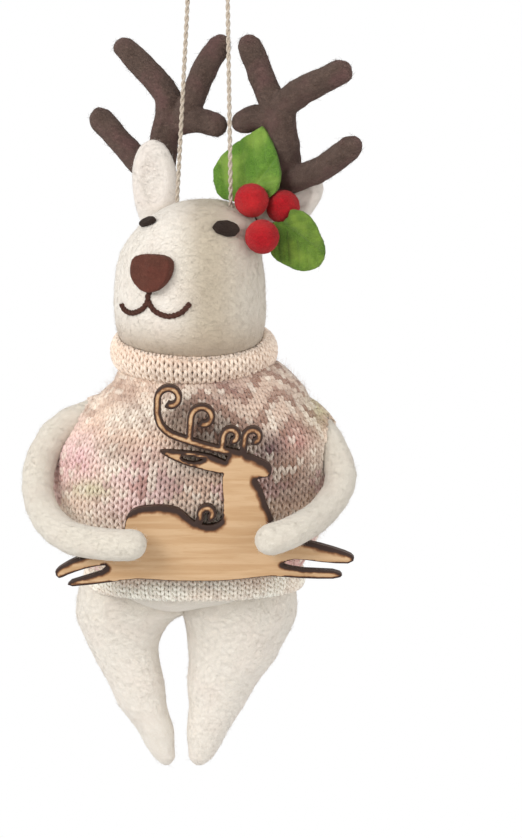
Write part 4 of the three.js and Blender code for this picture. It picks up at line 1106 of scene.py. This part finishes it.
turned_over = (b - a)[:, 0] * (c - a)[:, 1] - (b - a)[:, 1] * (c - a)[:, 0] < 0
triangles[turned_over] = triangles[turned_over][:, ::-1]
used = {(a, b) for t in triangles.tolist() for a, b in zip(t, t[1:] + t[:1])}
rim = sorted((a, b) for a, b in used if (b, a) not in used)

# The cut edge keeps the marks of the plies: layers of points through the thickness, a little rounded at
# both faces
rounding = bevel * 0.7 * (1 - np.minimum(from_edge(plate) / (bevel * 1.6), 1)) ** 2
count = len(plate)
corners = [np.stack([plate[:, 0], plate_front + depth, plate[:, 1]], axis=1)
           for depth in (rounding, ply_thickness - rounding)]
rim_points = [a for a, _ in rim]
for depth in ply_layers:
    level = np.full(len(rim), plate_front + depth)
    corners.append(np.stack([plate[rim_points, 0], level, plate[rim_points, 1]], axis=1))
rim_rows = [{p: p for p in rim_points}]
rim_rows += [{p: 2 * count + k * len(rim) + i for i, p in enumerate(rim_points)}
             for k in range(len(ply_layers))]
rim_rows += [{p: count + p for p in rim_points}]
faces = triangles.tolist() + (triangles[:, ::-1] + count).tolist()
for near, behind_it in zip(rim_rows, rim_rows[1:]):
    faces += [[near[b], near[a], behind_it[a], behind_it[b]] for a, b in rim]
scorch_and_shade_at = from_edge(plate, scorch_and_shade_widths)
edge_marks = np.concatenate([scorch_and_shade_at, scorch_and_shade_at, np.full(len(rim) * len(ply_layers), -1.0)])

birch, birch_tree, birch_shader = finish("birch plywood", 0.62, specular=0.3)
spot = in_millimetres(birch_tree)
grained = add(birch_tree, "ShaderNodeMapping", {"Vector": spot, "Scale": (0.05, 0.8, 0.7)}).outputs[0]
figure = cloud(birch_tree, grained, 1.2, 5.0, Distortion=0.6)
pores = add(birch_tree, "ShaderNodeMapping", {"Vector": spot, "Scale": (0.4, 6.0, 6.0)}).outputs[0]
pores = cloud(birch_tree, pores, 1.2, 2.0)
pale = blended(birch_tree, eased(birch_tree, figure, 0.35, 0.65), colour(189, 152, 112),
               colour(202, 168, 130))
pale = blended(birch_tree, eased(birch_tree, pores, 0.58, 0.7, 0.0, 0.25), pale, colour(176, 132, 86))
# The dark band beside a cut edge: scorch, and along edges that face up and right, painted shadow too
edge = add(birch_tree, "ShaderNodeAttribute", attribute_name="from edge").outputs["Fac"]
band_unevenness = cloud(birch_tree, spot, 0.5, 2.0)
reach = sums(birch_tree, "DIVIDE", edge, eased(birch_tree, band_unevenness, 0.3, 0.7, 0.85, 1.15))
brown = blended(birch_tree, eased(birch_tree, reach, 0.55, 1.0), colour(52, 34, 26), colour(136, 90, 54))
wood = blended(birch_tree, eased(birch_tree, reach, 0.8, 1.25, 1.0, 0.0), pale, brown)
depth_in = add(birch_tree, "ShaderNodeSeparateXYZ", {0: spot}).outputs["Y"]
ply_line = sums(birch_tree, "PINGPONG", sums(birch_tree, "SUBTRACT", depth_in, plate_front), 1.0)
ply_line = eased(birch_tree, ply_line, 0.0, 0.12, 0.8, 0.0)
charred = blended(birch_tree, eased(birch_tree, pores, 0.4, 0.62), colour(46, 30, 22), colour(84, 56, 38))
charred = blended(birch_tree, ply_line, charred, colour(28, 19, 14))
cut_face = sums(birch_tree, "LESS_THAN", edge, -0.5)
birch_tree.links.new(blended(birch_tree, cut_face, wood, charred), birch_shader.inputs["Base Color"])
birch_tree.links.new(eased(birch_tree, figure, 0.3, 0.7, 0.7, 0.56), birch_shader.inputs["Roughness"])
relief = sums(birch_tree, "ADD", sums(birch_tree, "MULTIPLY", pores, -0.6), figure)
raised(birch_tree, birch_shader, relief, 0.05)
deer = piece("wooden_deer_plate", np.vstack(corners), faces, birch, "ornament", "birch_plywood",
             "wooden_deer")
layer = deer.data.attributes.new("from edge", "FLOAT", "POINT")
layer.data.foreach_set("value", edge_marks.astype(np.float32))
deer.data.set_sharp_from_angle(angle=math.radians(50))


# A plain pale floor lies well below the toy. It shows as white to the camera and in reflections, as the sky
# does, and lights the toy as pale paper would.
floor_half, floor_height = 1.5, -0.22
floor_mesh = bpy.data.meshes.new("floor")
floor_corners = [(x * floor_half, y * floor_half, floor_height)
                 for x, y in ((-1, -1), (1, -1), (1, 1), (-1, 1))]
floor_mesh.from_pydata(floor_corners, [], [(0, 1, 2, 3)])
floor = bpy.data.objects.new("floor", floor_mesh)
scene.collection.objects.link(floor)


def seen_directly(tree):
    """1 where the camera looks straight at it, or by way of a mirror or glass, and 0 for other light."""
    path = add(tree, "ShaderNodeLightPath").outputs
    seen = sums(tree, "MAXIMUM", path["Is Camera Ray"], path["Is Glossy Ray"])
    return sums(tree, "MAXIMUM", seen, path["Is Transmission Ray"])


paper = bpy.data.materials.new("floor")
paper.use_nodes = True
paper_tree = paper.node_tree
paper_tree.nodes.clear()
matt = add(paper_tree, "ShaderNodeBsdfDiffuse", {"Color": (0.8, 0.8, 0.8, 1)}).outputs[0]
white = add(paper_tree, "ShaderNodeEmission", {"Color": (1, 1, 1, 1), "Strength": 1.0}).outputs[0]
shown = add(paper_tree, "ShaderNodeMixShader", {0: seen_directly(paper_tree), 1: matt, 2: white}).outputs[0]
add(paper_tree, "ShaderNodeOutputMaterial", {"Surface": shown})
floor_mesh.materials.append(paper)


# Soft daylight comes from the upper left, with a weaker fill from the right and an even sky.
daylight = 0.68
sky = bpy.data.worlds.new("sky")
sky.use_nodes = True
scene.world = sky
sky_light = sky.node_tree.nodes["Background"].inputs
sky_light["Color"].default_value = (1, 1, 1, 1)
strength = eased(sky.node_tree, seen_directly(sky.node_tree), 0, 1, daylight, 1.0)
sky.node_tree.links.new(strength, sky_light["Strength"])
for name, place, size, power in (("window", (-0.45, -0.5, 0.25), 0.35, 3.4),
                                 ("fill", (0.5, -0.3, 0.0), 0.5, 1.0)):
    lamp = bpy.data.lights.new(name, "AREA")
    lamp.size = size
    lamp.energy = power
    stand = bpy.data.objects.new(name, lamp)
    scene.collection.objects.link(stand)
    stand.location = place
    stand.rotation_mode = "QUATERNION"
    stand.rotation_quaternion = (looked_at - Vector(place)).to_track_quat("-Z", "Y")

scene.view_settings.view_transform = "Standard"
